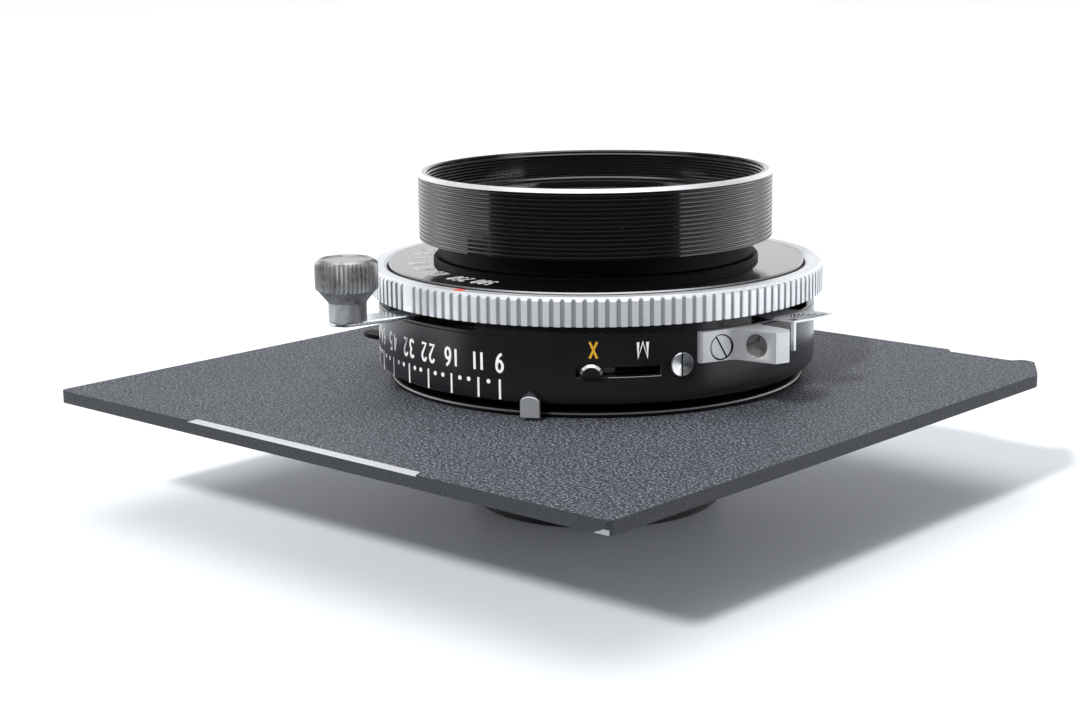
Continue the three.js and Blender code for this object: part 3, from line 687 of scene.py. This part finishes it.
def screw_head(name, r, height, slot_turn, where, replaces, material, cone=0.0, rim=0.12):
    """A slotted screw head, its top hollowed to a shallow cone."""
    bm = add_turned(bmesh.new(), [(0.0, 0.0), (r, 0.0), (r, height - rim), (r - rim, height),
                                  (r * 0.5, height - cone * 0.5), (0.001, height - cone)], 64, closed=False)
    bmesh.ops.remove_doubles(bm, verts=bm.verts, dist=0.002)
    bm.transform(where)
    across = [(-r - 1, -SLOT_HALF), (r + 1, -SLOT_HALF), (r + 1, SLOT_HALF), (-r - 1, SLOT_HALF)]
    tool = add_prism(bmesh.new(), across, height - SLOT_DEPTH, height + 1)
    turn = where @ about_z(slot_turn)
    tool.transform(turn)
    head = finish_mesh(bm, name, [material, "slot_black"], ROOT, replaces=replaces, slot="satin_steel",
                       cuts=[cutter(tool)], smooth=25)
    back = turn.inverted()

    def in_slot(c, n):
        local = back @ c
        return abs(local.y) < SLOT_HALF + 0.01 and 0.02 < local.z < height - 0.02

    # The slot's faces are painted matt black: painted shade in the slot.
    paint_faces(head, 1, in_slot)


def sync_selector():
    mid = -50.5
    outline = [(-1.66, 6.75), (-1.2, 6.5), (1.2, 6.5), (1.66, 6.75)] + oval(0.0, 7.15, 1.66, 1.5, 0, 180, 16)
    bm = add_prism(bmesh.new(), outline, 0.0, 0.85)
    bm.transform(outward(mid, 0.0, CASING_R + 0.2))
    lug = finish_mesh(bm, "sync_selector_lug", ["black", "rim"], "sync", slot="satin_steel", bevel=0.38, smooth=44)
    middle = Vector(polar(1.0, mid, 0.0))
    # The upper bevel that faces up and out gets bright metal: a worn edge with a painted highlight.
    paint_faces(lug, 1, lambda c, n: c.z > 7.4 and 0.3 < n.dot(middle) < 0.9 and n.z > 0.42)
    prism("sync_selector_slide", arc(31.2, mid - 6, mid + 6) + arc(32.3, mid + 6, mid - 6), 6.7, 7.85, "dark_steel",
          "sync", replaces="sync_selector", slot="satin_steel")
    prism("sync_selector_stem", arc(32.0, mid - 1.3, mid + 1.3) + arc(35.4, mid + 1.3, mid - 1.3), 6.72, 7.83,
          "dark_steel", "sync", slot="satin_steel")


RING_R = 36.25
RING_GROOVES = 140
INDEX_ANGLE = -84.35


def land(z):
    """The speed ring's outer radius at a height: straight, then chamfered at the top."""
    return RING_R - max(0.0, z - 17.9) / 1.2


def speed_ring():
    rows = [14.2, 17.9, 17.98, 18.06, 18.14, 18.22, 18.3, 18.4, 18.5]
    groove = [(-0.58, 0.0), (-0.5, 0.17), (-0.36, 0.28), (-0.15, 0.34), (0.15, 0.34), (0.36, 0.28), (0.5, 0.17),
              (0.58, 0.0), (1.28, 0.0)]
    columns = []
    for i in range(RING_GROOVES):
        deg = i * 360 / RING_GROOVES + 2.18
        plain = 257.0 < deg < 261.6
        columns += [(deg + offset, RING_R - (0.0 if plain else depth)) for offset, depth in groove]
    bm = bmesh.new()
    grid = [[bm.verts.new(polar(min(land(z), deep), deg, z)) for deg, deep in columns] for z in rows]
    grid.append([bm.verts.new(polar(34.05, deg, 18.5)) for deg, _ in columns])
    inner = [(33.5, 18.1), (33.45, 16.4), (32.4, 16.4), (32.4, 15.6), (33.45, 15.6), (33.45, 14.2)]
    for r, z in inner:
        grid.append([bm.verts.new(polar(r, deg, z)) for deg, _ in columns])
    join_rings(bm, grid + [grid[0]])
    ring = finish_mesh(bm, "speed_ring_knurled", ["chrome", "chrome_with_painted_shade"], "speed_control", replaces="speed_ring",
                       slot="chrome")
    # The groove walls and bottoms get the darker chrome: painted shade in the grooves.
    paint_faces(ring, 1, lambda c, n: c.z < 18.45 and 35.5 < flat_radius(c) < land(c.z) - 0.13)
    mark = [(34.2, -0.7), (35.74, -0.85), (35.74, 0.85), (34.2, 0.7)]
    bm = bmesh.new()
    bm.faces.new([bm.verts.new(polar(r, INDEX_ANGLE + math.degrees(x / r), 18.505)) for r, x in mark])
    raise_print(bm, "speed_index_print", "red", "speed_control", lambda co: UP)


DIAL_TOP = 18.7
SPEEDS = [("500", -84.8), ("250", -94.9), ("125", -107.4), ("60", -118.4), ("30", -128.6), ("15", -138.8),
          ("8", -148.4), ("4", -156.4), ("2", -164.4), ("1", -172.4), ("B", -182.4), ("T", -192.4)]


def on_dial(deg, r):
    """Puts flat print on the dial plate, its tops pointing outwards."""
    def place(x, y):
        return polar(r + y, deg - math.degrees(x / r), DIAL_TOP + 0.005)
    return place


def dial():
    plate = [(21.5, 17.9), (33.1, 17.9), (33.2, 18.0), (33.2, 18.5), (33.0, DIAL_TOP), (21.5, DIAL_TOP)]
    disc = turned("dial_plate_disc", plate, ["dial", "line"], replaces="dial_plate", slot="gloss_black",
                  segments=192)
    # The dial's outer chamfer gets pale metal: a painted highlight.
    paint_faces(disc, 1, lambda c, n: c.z > 18.5 and flat_radius(c) > 33.0)
    # The ring at the neck's foot is painted matt black: painted shade under the overhanging filter ring.
    step = [(21.5, DIAL_TOP), (26.0, DIAL_TOP), (26.0, 19.35), (25.8, 19.6), (21.5, 19.6)]
    turned("dial_retainer_turned", step, "slot_black", replaces="dial_retaining_ring", slot="gloss_black",
           segments=192)
    bm = bmesh.new()
    for text, deg in SPEEDS:
        add_sign_row(bm, text, on_dial(deg, 28.6), 3.2, 1.05, 0.26, 0.38, 0.5)
    raise_print(bm, "speed_scale_print", "white", ROOT, lambda co: UP)


# ---------------------------------------------------------------- lens cells

RIBS = {"r": 28.26, "count": 15, "pitch": 0.655, "z0": 22.62}


def ribbed_profile():
    """The filter ring's section: rounded ribs outside, a polished lip, and the filter thread inside."""
    r, pitch = RIBS["r"], RIBS["pitch"]
    profile = [(26.8, 22.5), (27.9, 22.5), (28.1, 22.56)]
    for i in range(RIBS["count"]):
        z = RIBS["z0"] + pitch * i
        profile += [(r, z), (r, z + pitch * 0.34), (28.0, z + pitch * 0.44), (27.94, z + pitch * 0.65),
                    (28.0, z + pitch * 0.86)]
    profile += [(r, 32.45), (r, 32.55), (27.8, 33.05), (27.6, 33.07), (27.05, 33.07), (26.8, 32.85)]
    for i in range(8):
        z = 32.5 - i * 0.5
        profile += [(26.82, z), (26.62, z - 0.18), (26.62, z - 0.26), (26.82, z - 0.42)]
    return profile


def front_cell():
    inner = [(16.4, 9.5), (19.7, 9.5), (19.7, 19.6), (25.0, 19.6), (25.2, 19.8), (25.2, 22.5), (26.7, 22.5),
             (26.7, 28.0), (22.6, 28.0), (22.6, 24.0), (18.0, 24.0), (18.0, 10.3), (16.4, 10.3)]
    neck = turned("front_barrel_turned", inner, ["gloss", "slot_black"], replaces="front_barrel", slot="gloss_black",
                  segments=256, smooth=24)
    # The neck's outside below the filter ring is painted matt black: painted shade under the overhanging ring.
    paint_faces(neck, 1, lambda c, n: 19.6 <= c.z < 22.55 and flat_radius(c) > 24.0)
    shell = turned("filter_ring_ribbed", ribbed_profile(), ["gloss", "rim"], replaces="filter_ring",
                   slot="gloss_black", segments=256, smooth=24)
    paint_faces(shell, 1, lambda c, n: c.z > 32.5 and flat_radius(c) > 27.6)
    bezel = [(21.4, 28.1), (26.4, 28.0), (26.6, 28.1), (26.6, 28.7), (26.45, 28.8), (24.4, 28.8), (24.2, 28.6),
             (22.0, 28.6), (21.4, 28.35)]
    turned("front_bezel_turned", bezel, "gloss", replaces="front_bezel", slot="gloss_black", segments=192)
    dome("front_glass_outer_polished", 22.3, 24.0, 27.7, 1.4, 1.05, "front_glass_outer")
    dome("front_glass_inner_polished", 17.7, 10.3, 12.9, 0.9, -0.6, "front_glass_inner")


def dome(name, r, z0, z1, low, high, node):
    """A lens element with spherical faces; low and high are how far each face's middle lies above its rim."""
    def face(z, rise):
        return [(r * 0.97 * t, z + rise * (1 - t * t)) for t in [k / 14 for k in range(15)]]
    profile = face(z0, low) + [(r, z0 + 0.15), (r, z1 - 0.15)] + list(reversed(face(z1, high)))
    turned(name, profile, "glass", replaces=node, slot="optical_glass", segments=96, smooth=40)


def rear_cell():
    profile = [(15.7, -0.3), (17.9, -0.3), (17.9, -5.5), (19.8, -5.5), (20.0, -5.7), (20.0, -9.0), (19.75, -9.2),
               (19.75, -9.6), (20.0, -9.8), (20.0, -20.5), (19.75, -20.8), (18.8, -20.8), (18.5, -20.6),
               (18.2, -20.3), (18.2, -7.0), (15.7, -7.0)]
    turned("rear_barrel_turned", profile, "gloss", replaces="rear_barrel", slot="gloss_black", segments=192)
    retainer = [(16.9, -19.4), (17.1, -19.6), (18.0, -19.6), (18.0, -18.8), (16.9, -18.8)]
    notches = [wedge(17.4, 18.1, a - 5, a + 5, -21, -19.2) for a in (20, 200)]
    turned("rear_retainer_turned", retainer, "gloss", replaces="rear_retainer", slot="gloss_black",
           cuts=notches)
    dome("rear_glass_outer_polished", 17.9, -18.8, -15.4, -0.7, -0.9, "rear_glass_outer")
    dome("rear_glass_inner_polished", 17.9, -9.8, -7.0, 0.6, 0.9, "rear_glass_inner")


# ---------------------------------------------------------------- levers

KNOB_ANGLE = -104.7
KNOB_REACH = 45.0
KNOB = polar(KNOB_REACH, KNOB_ANGLE)
KNOB_RIDGES = 42


def cocking():
    arm = [(26.9, -2.6)] + arc(2.95, -62, 62, 8, (KNOB_REACH, 0.0)) + [(26.9, 2.6)]
    bm = add_prism(bmesh.new(), arm, 12.97, 13.6)
    bm.transform(about_z(KNOB_ANGLE))
    finish_mesh(bm, "cocking_lever_arm", "turned", "cocking", slot="satin_steel", bevel=0.16)
    turned("cocking_lever_ring", [(22.8, 12.95), (27.4, 12.95), (27.4, 13.6), (22.8, 13.6)], "satin", "cocking",
           replaces="cocking_lever", slot="satin_steel")
    post = [(0.0, 13.6), (2.85, 13.6), (2.87, 13.7), (2.87, 16.2), (2.95, 16.45), (4.3, 18.1), (4.4, 18.2),
            (0.0, 18.2)]
    turned("cocking_post_turned", post, "aged", "cocking", 64, KNOB, replaces="cocking_post", slot="satin_steel")
    knurled_knob()


def knurled_knob():
    """The knob: each row is a height, a radius and how much of the grooves' depth it has."""
    rows = [(18.2, 0.01, 0), (18.2, 4.4, 0), (18.35, 4.66, 1), (18.6, 4.75, 1), (22.15, 4.75, 1), (22.5, 4.48, 0.6),
            (22.62, 4.3, 0), (22.85, 4.05, 0), (22.9, 3.95, 0), (22.9, 3.7, 0), (22.72, 3.55, 0), (22.7, 0.01, 0)]
    columns = [(90 / KNOB_RIDGES * i, (0.0, 0.16, 0.36, 0.16)[i % 4]) for i in range(KNOB_RIDGES * 4)]
    bm = bmesh.new()
    grid = []
    for z, r, depth in rows:
        ring = [polar(r - groove * depth, deg) for deg, groove in columns]
        grid.append([bm.verts.new((KNOB[0] + x, KNOB[1] + y, z)) for x, y in ring])
    join_rings(bm, grid)
    bmesh.ops.remove_doubles(bm, verts=bm.verts, dist=0.015)
    finish_mesh(bm, "cocking_knob_knurled", "aged", "cocking", replaces="cocking_knob", slot="satin_steel",
                smooth=25)


RELEASE_Z = (12.7, 13.0)
FAN_START = 84
FAN_STEP = 4


def fan_reach(deg):
    """How far the serrated fan on the release lever reaches from its corner in each direction."""
    turn = min(1.0, max(0.0, (deg - FAN_START) / 104))
    return 7.6 - 4.4 * turn ** 0.6


def release_lever():
    z0, z1 = RELEASE_Z
    corners = [(29.4, 2.4), (31.5, -0.6), (36.0, -1.1), (39.6, -1.1), (40.3, 2.6), (40.6, 6.2), (40.4, 8.0),
               (36.5, 7.6), (32.5, 6.4), (29.6, 4.6)]
    outline = rounded(corners, [0.5, 0.8, 0, 0.1, 0.5, 0.5, 0.3, 0.5, 0.5, 0.5], 3)
    plate = prism("release_lever_plate", outline, z0, z1, ["satin", "rim"], "release",
                  holes=[circle(0.86, 24, (30.6, 3.2))], replaces="release_lever", slot="satin_steel", bevel=0.1)
    paint_faces(plate, 1, lambda c, n: n.z < 0.9 and c.x > 39.0)
    serrations()
    tab = rounded([(39.0, -1.1), (39.6, -1.1), (39.6, -0.5), (39.0, -0.5)], [0.06] * 4, 2)
    prism("release_lever_tab", tab, 8.5, z0 + 0.1, "rim", "release", slot="satin_steel", bevel=0.06)


def serrations():
    """Bright wedges spreading from the release lever's corner over a bed painted matt black: painted shade between
    the ridges.
    """
    top = RELEASE_Z[1]
    corner = Vector((39.3, -0.7))
    bed, ridges = [tuple(corner)], bmesh.new()
    for i in range(27):
        deg = FAN_START + i * FAN_STEP
        far = corner + Vector(polar(fan_reach(deg), deg))
        bed.append(tuple(far))
        if i % 2 and i < 26:
            side = Vector(polar(1.0, deg + 90))
            near = corner + Vector(polar(0.9, deg))
            wide = 0.11 + 0.012 * fan_reach(deg)
            ends = [near - side * 0.04, far - side * wide, far + side * wide, near + side * 0.04]
            add_prism(ridges, [tuple(p) for p in ends], top, top + 0.12)
    prism("release_lever_fan_bed", bed, top - 0.02, top + 0.02, "slot_black", "release", slot="satin_steel")
    finish_mesh(ridges, "release_lever_serrations", "satin", "release", slot="satin_steel", smooth=20)


# Where the socket's foot ends, and how far out the flats lie that the two screws stand on.
FOOT_ANGLE = -24.4
FOOT_FLAT = 36 * math.cos(math.radians(4.9))
SCREW_WALL = CASING_R * math.cos(math.radians(3))


def threaded_hole():
    """The socket's tapped hole, from its bottom to past its mouth at height 0."""
    profile = [(0.0, -8.0), (1.55, -8.0)]
    for i in range(15):
        z = -7.6 + i * 0.5
        profile += [(2.04, z + 0.14), (1.64, z + 0.38)]
    profile += [(1.95, 0.1), (2.08, 0.3), (2.08, 1.5), (0.0, 1.5)]
    return add_turned(bmesh.new(), profile, 40, closed=False)


def cable_socket():
    inner = [polar(35.02, a) for a in (-6.5, -9, -12, -15, -18, -21, FOOT_ANGLE)]
    shaped = [polar(35.02, FOOT_ANGLE), polar(36.0, FOOT_ANGLE), polar(36.0, -15.0), (41.6, -8.5), (42.35, -6.1),
              (41.4, -4.9), (37.0, -4.4)]
    outline = inner[:-1] + rounded(inner[-2:-1] + shaped, [0, 0, 0.5, 1.3, 0.12, 0, 0.3, 0.2], 6)[1:]
    mouth = Matrix.Translation((38.4, -8.98, 10.37)) @ about_z(-80.7) @ Matrix.Rotation(math.pi / 2, 4, "Y")
    hole = threaded_hole()
    hole.transform(mouth)
    screw = outward(-19.9, 10.05, FOOT_FLAT, 0.83)
    seat = add_turned(bmesh.new(), [(0.0, -0.4), (1.95, -0.4), (1.95, 1.0), (0.0, 1.0)], 64, closed=False)
    seat.transform(screw)
    block = prism("cable_release_block", outline, 8.0, 12.6, ["satin", "dark_thread", "slot_black"],
                  replaces="cable_release_socket", slot="satin_steel", cuts=[cutter(hole), cutter(seat)],
                  bevel=0.1, smooth=25)
    into, around = mouth.inverted(), screw.inverted()
    paint_faces(block, 1, lambda c, n: (into @ c).xy.length < 2.07 and abs((into.to_3x3() @ n).z) < 0.93)
    # The seat round the socket screw is painted matt black: painted shade in the recess.
    paint_faces(block, 2, lambda c, n: (around @ c).xy.length < 1.96 and (around @ c).z < -0.02)
    screw_head("socket_screw_head", 1.78, 0.44, 120, outward(-19.9, 10.05, FOOT_FLAT - 0.4, 0.83), "socket_screw",
               "satin")
    screw_head("side_screw_head", 1.8, 0.6, 90, outward(-27, 8, SCREW_WALL, -1.0), "side_screw", "turned",
               cone=0.28)


def terminal():
    place = outward(-171, 5.8, SCREW_WALL)
    shell = add_turned(bmesh.new(), [(0.001, 0.0), (2.9, 0.0), (2.9, 0.25), (2.4, 0.4), (2.4, 2.85), (2.25, 3.0),
                                     (1.85, 3.0), (1.7, 2.85), (1.7, 0.4), (0.001, 0.4)], 64, closed=False)
    shell.transform(place)
    finish_mesh(shell, "pc_terminal_shell", "satin", ROOT, replaces="pc_terminal", slot="satin_steel")
    sleeve = add_turned(bmesh.new(), [(0.5, 0.4), (1.6, 0.4), (1.6, 2.1), (1.5, 2.2), (0.6, 2.2), (0.5, 2.1)], 48)
    sleeve.transform(place)
    finish_mesh(sleeve, "pc_insulator_sleeve", "insulator", ROOT, replaces="pc_insulator", slot="insulator")
    pin = add_turned(bmesh.new(), [(0.001, 0.4), (0.4, 0.4), (0.4, 2.4), (0.25, 2.65), (0.001, 2.7)], 24,
                     closed=False)
    pin.transform(place)
    finish_mesh(pin, "pc_pin_turned", "brass", ROOT, replaces="pc_pin", slot="brass")


def side_tab():
    inner = [(CASING_R, a) for a in (-141.5, -144, -147, -150)]
    outer = [(38.2, -149.6), (38.65, -149.0), (38.8, -148.2), (38.6, -146.4), (38.2, -145.2), (37.6, -144.0),
             (36.2, -142.2)]
    outline = [polar(r, deg) for r, deg in inner + outer]
    prism("side_tab_plate", outline, 5.05, 5.75, "slot_black", replaces="side_tab", slot="black_paint", bevel=0.12)


for build in (lens_board, board_fittings, casings, wall_print, pointer, sync_selector, speed_ring, dial, front_cell,
              rear_cell, cocking, release_lever, cable_socket, side_tab, terminal):
    build()

# ---------------------------------------------------------------- carried-over CAD nodes

CARRIED = {
    "satin": ["casing_cover", "blade_plate", "shutter_tube", "speed_cam_plate"],
    "brass": ["mechanism_bridge", "retard_sector", "retard_pinion"],
    "slot_black": ["aperture_ring", "mechanism_plate", "shutter_drive_ring"],
    "dark_steel": ["mainspring", "front_spacer", "rear_spacer", "retard_pallet"],
}
CARRIED["dark_steel"] += [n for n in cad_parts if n.startswith(("aperture_blade_", "shutter_blade_"))]
for finish, names in CARRIED.items():
    for node_name in names:
        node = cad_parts[node_name]
        node.data.materials.clear()
        node.data.materials.append(M[finish])

# ---------------------------------------------------------------- studio

scene = bpy.context.scene
scene.view_settings.view_transform = "Standard"

bpy.ops.mesh.primitive_plane_add(size=4.0, location=(0, 0, 0))
floor = bpy.context.object
floor.name = "floor"
n = Nodes("pale_table")
n.bump(n.noise(300.0, 3.0), 0.02, 0.0005)
tone = n.mix(n.noise(3.0, 2.0), (0.83, 0.865, 0.91), (0.86, 0.89, 0.93))
floor.data.materials.append(n.set(color=tone, rough=0.55))

# The camera's heading about the lens axis, and the studio's brightness by direction.
CAMERA_AZ = 0.7098
FRONT_DIM = 0.12
SIDE_BRIGHT = 2.8
BACK_BRIGHT = 1.3
UPPER_DIM = 0.25
TOP_BRIGHT = 2.0


def studio_world():
    """A white tent, open and dark on the camera's side, as a brightness for each direction.

    Where the camera looks past the object it sees plain white instead.
    """
    world = bpy.data.worlds.new("studio")
    bpy.context.scene.world = world
    world.use_nodes = True
    tree = world.node_tree

    def node(kind, **values):
        made = tree.nodes.new(kind)
        for key, value in values.items():
            setattr(made, key, value)
        return made

    def feed(made, values):
        for socket, v in zip(made.inputs, values):
            if hasattr(v, "is_output"):
                tree.links.new(v, socket)
            else:
                socket.default_value = v
        return made.outputs[0]

    def calc(operation, a, b=0.0):
        return feed(node("ShaderNodeMath", operation=operation), (a, b))

    def ramp(value, low, high, to_low, to_high):
        return feed(node("ShaderNodeMapRange", interpolation_type="SMOOTHSTEP"), (value, low, high, to_low, to_high))

    def blend(a, b, part):
        return calc("ADD", calc("MULTIPLY", a, calc("SUBTRACT", 1.0, part)), calc("MULTIPLY", b, part))

    split = node("ShaderNodeSeparateXYZ")
    tree.links.new(node("ShaderNodeTexCoord").outputs["Generated"], split.inputs[0])
    x, y, z = split.outputs
    sin, cos = math.sin(CAMERA_AZ), math.cos(CAMERA_AZ)
    towards = calc("SUBTRACT", calc("MULTIPLY", x, sin), calc("MULTIPLY", y, cos))
    across = calc("ADD", calc("MULTIPLY", x, cos), calc("MULTIPLY", y, sin))
    angle = calc("MULTIPLY", calc("ARCTAN2", across, towards), 180 / math.pi)
    lift = calc("MULTIPLY", calc("ARCSINE", z), 180 / math.pi)
    right = ramp(angle, 50.0, 58.0, FRONT_DIM, SIDE_BRIGHT)
    left = ramp(angle, -80.0, -58.0, SIDE_BRIGHT, FRONT_DIM)
    around = calc("MAXIMUM", left, right)
    back = ramp(calc("ABSOLUTE", angle), 118.0, 140.0, 0.0, 1.0)
    around = blend(around, BACK_BRIGHT, back)
    bright = blend(around, UPPER_DIM, ramp(lift, 14.0, 34.0, 0.0, 1.0))
    bright = calc("ADD", bright, ramp(lift, 52.0, 70.0, 0.0, TOP_BRIGHT))
    bright = blend(bright, 1.0, node("ShaderNodeLightPath").outputs["Is Camera Ray"])
    background = tree.nodes["Background"]
    background.inputs["Color"].default_value = (0.985, 0.993, 1.0, 1.0)
    tree.links.new(bright, background.inputs["Strength"])


studio_world()


def key_light(towards, strength, spread):
    """A distant soft light whose rays arrive from a direction."""
    light = bpy.data.lights.new("key", "SUN")
    light.energy = strength
    light.angle = math.radians(spread)
    obj = bpy.data.objects.new("key", light)
    scene.collection.objects.link(obj)
    obj.rotation_euler = Vector(towards).to_track_quat("Z", "Y").to_euler()
    obj.visible_glossy = False


key_light((4.9, -23.4, 18.8), 2.95, 6.5)

# The card's sides in degrees from the camera's direction, and its near and far edges in metres from the middle.
CARD_SECTOR = (-68.5, 54.0)
CARD_NEAR = 0.118
CARD_FAR = 1.6
CARD_LIFT = 0.001


def dark_card():
    """A matt black sheet low in front, seen only in reflections, where a table ends in a dark room."""
    bm = bmesh.new()
    near, far = [], []
    start, end = CARD_SECTOR
    for i in range(13):
        deg = math.degrees(CAMERA_AZ) - 90 + start + (end - start) * i / 12
        near.append(bm.verts.new(polar(CARD_NEAR, deg, CARD_LIFT)))
        far.append(bm.verts.new(polar(CARD_FAR, deg, CARD_LIFT)))
    for i in range(len(near) - 1):
        bm.faces.new((near[i], far[i], far[i + 1], near[i + 1]))
    mesh = bpy.data.meshes.new("dark_card")
    bm.to_mesh(mesh)
    bm.free()
    card = bpy.data.objects.new("dark_card", mesh)
    scene.collection.objects.link(card)
    card.data.materials.append(M["slot_black"])
    card.visible_camera = False
    card.visible_diffuse = False
    card.visible_shadow = False


dark_card()


def camera():
    """The camera that the object's ellipses and edges were fitted with, in millimetres and radians."""
    az, yaw, pitch, roll = CAMERA_AZ, 0.0288, 0.2094, -0.01385
    distance, height, focal_px = 317.545, 69.305, 1995.1
    eye = row((distance * math.sin(az), -distance * math.cos(az), height))
    heading = az + yaw
    level = math.cos(pitch)
    forward = Vector((-math.sin(heading) * level, math.cos(heading) * level, -math.sin(pitch)))
    right = forward.cross(UP).normalized()
    up = right.cross(forward)
    rolled_right = right * math.cos(roll) + up * math.sin(roll)
    rolled_up = up * math.cos(roll) - right * math.sin(roll)
    turn = Matrix((rolled_right, rolled_up, -forward)).transposed().to_4x4()
    data = bpy.data.cameras.new("camera")
    data.sensor_width = 36.0
    data.lens = 36.0 * focal_px / 1080.0
    data.clip_start = 0.01
    obj = bpy.data.objects.new("camera", data)
    obj.matrix_world = Matrix.Translation(eye) @ turn
    scene.collection.objects.link(obj)
    scene.camera = obj


camera()
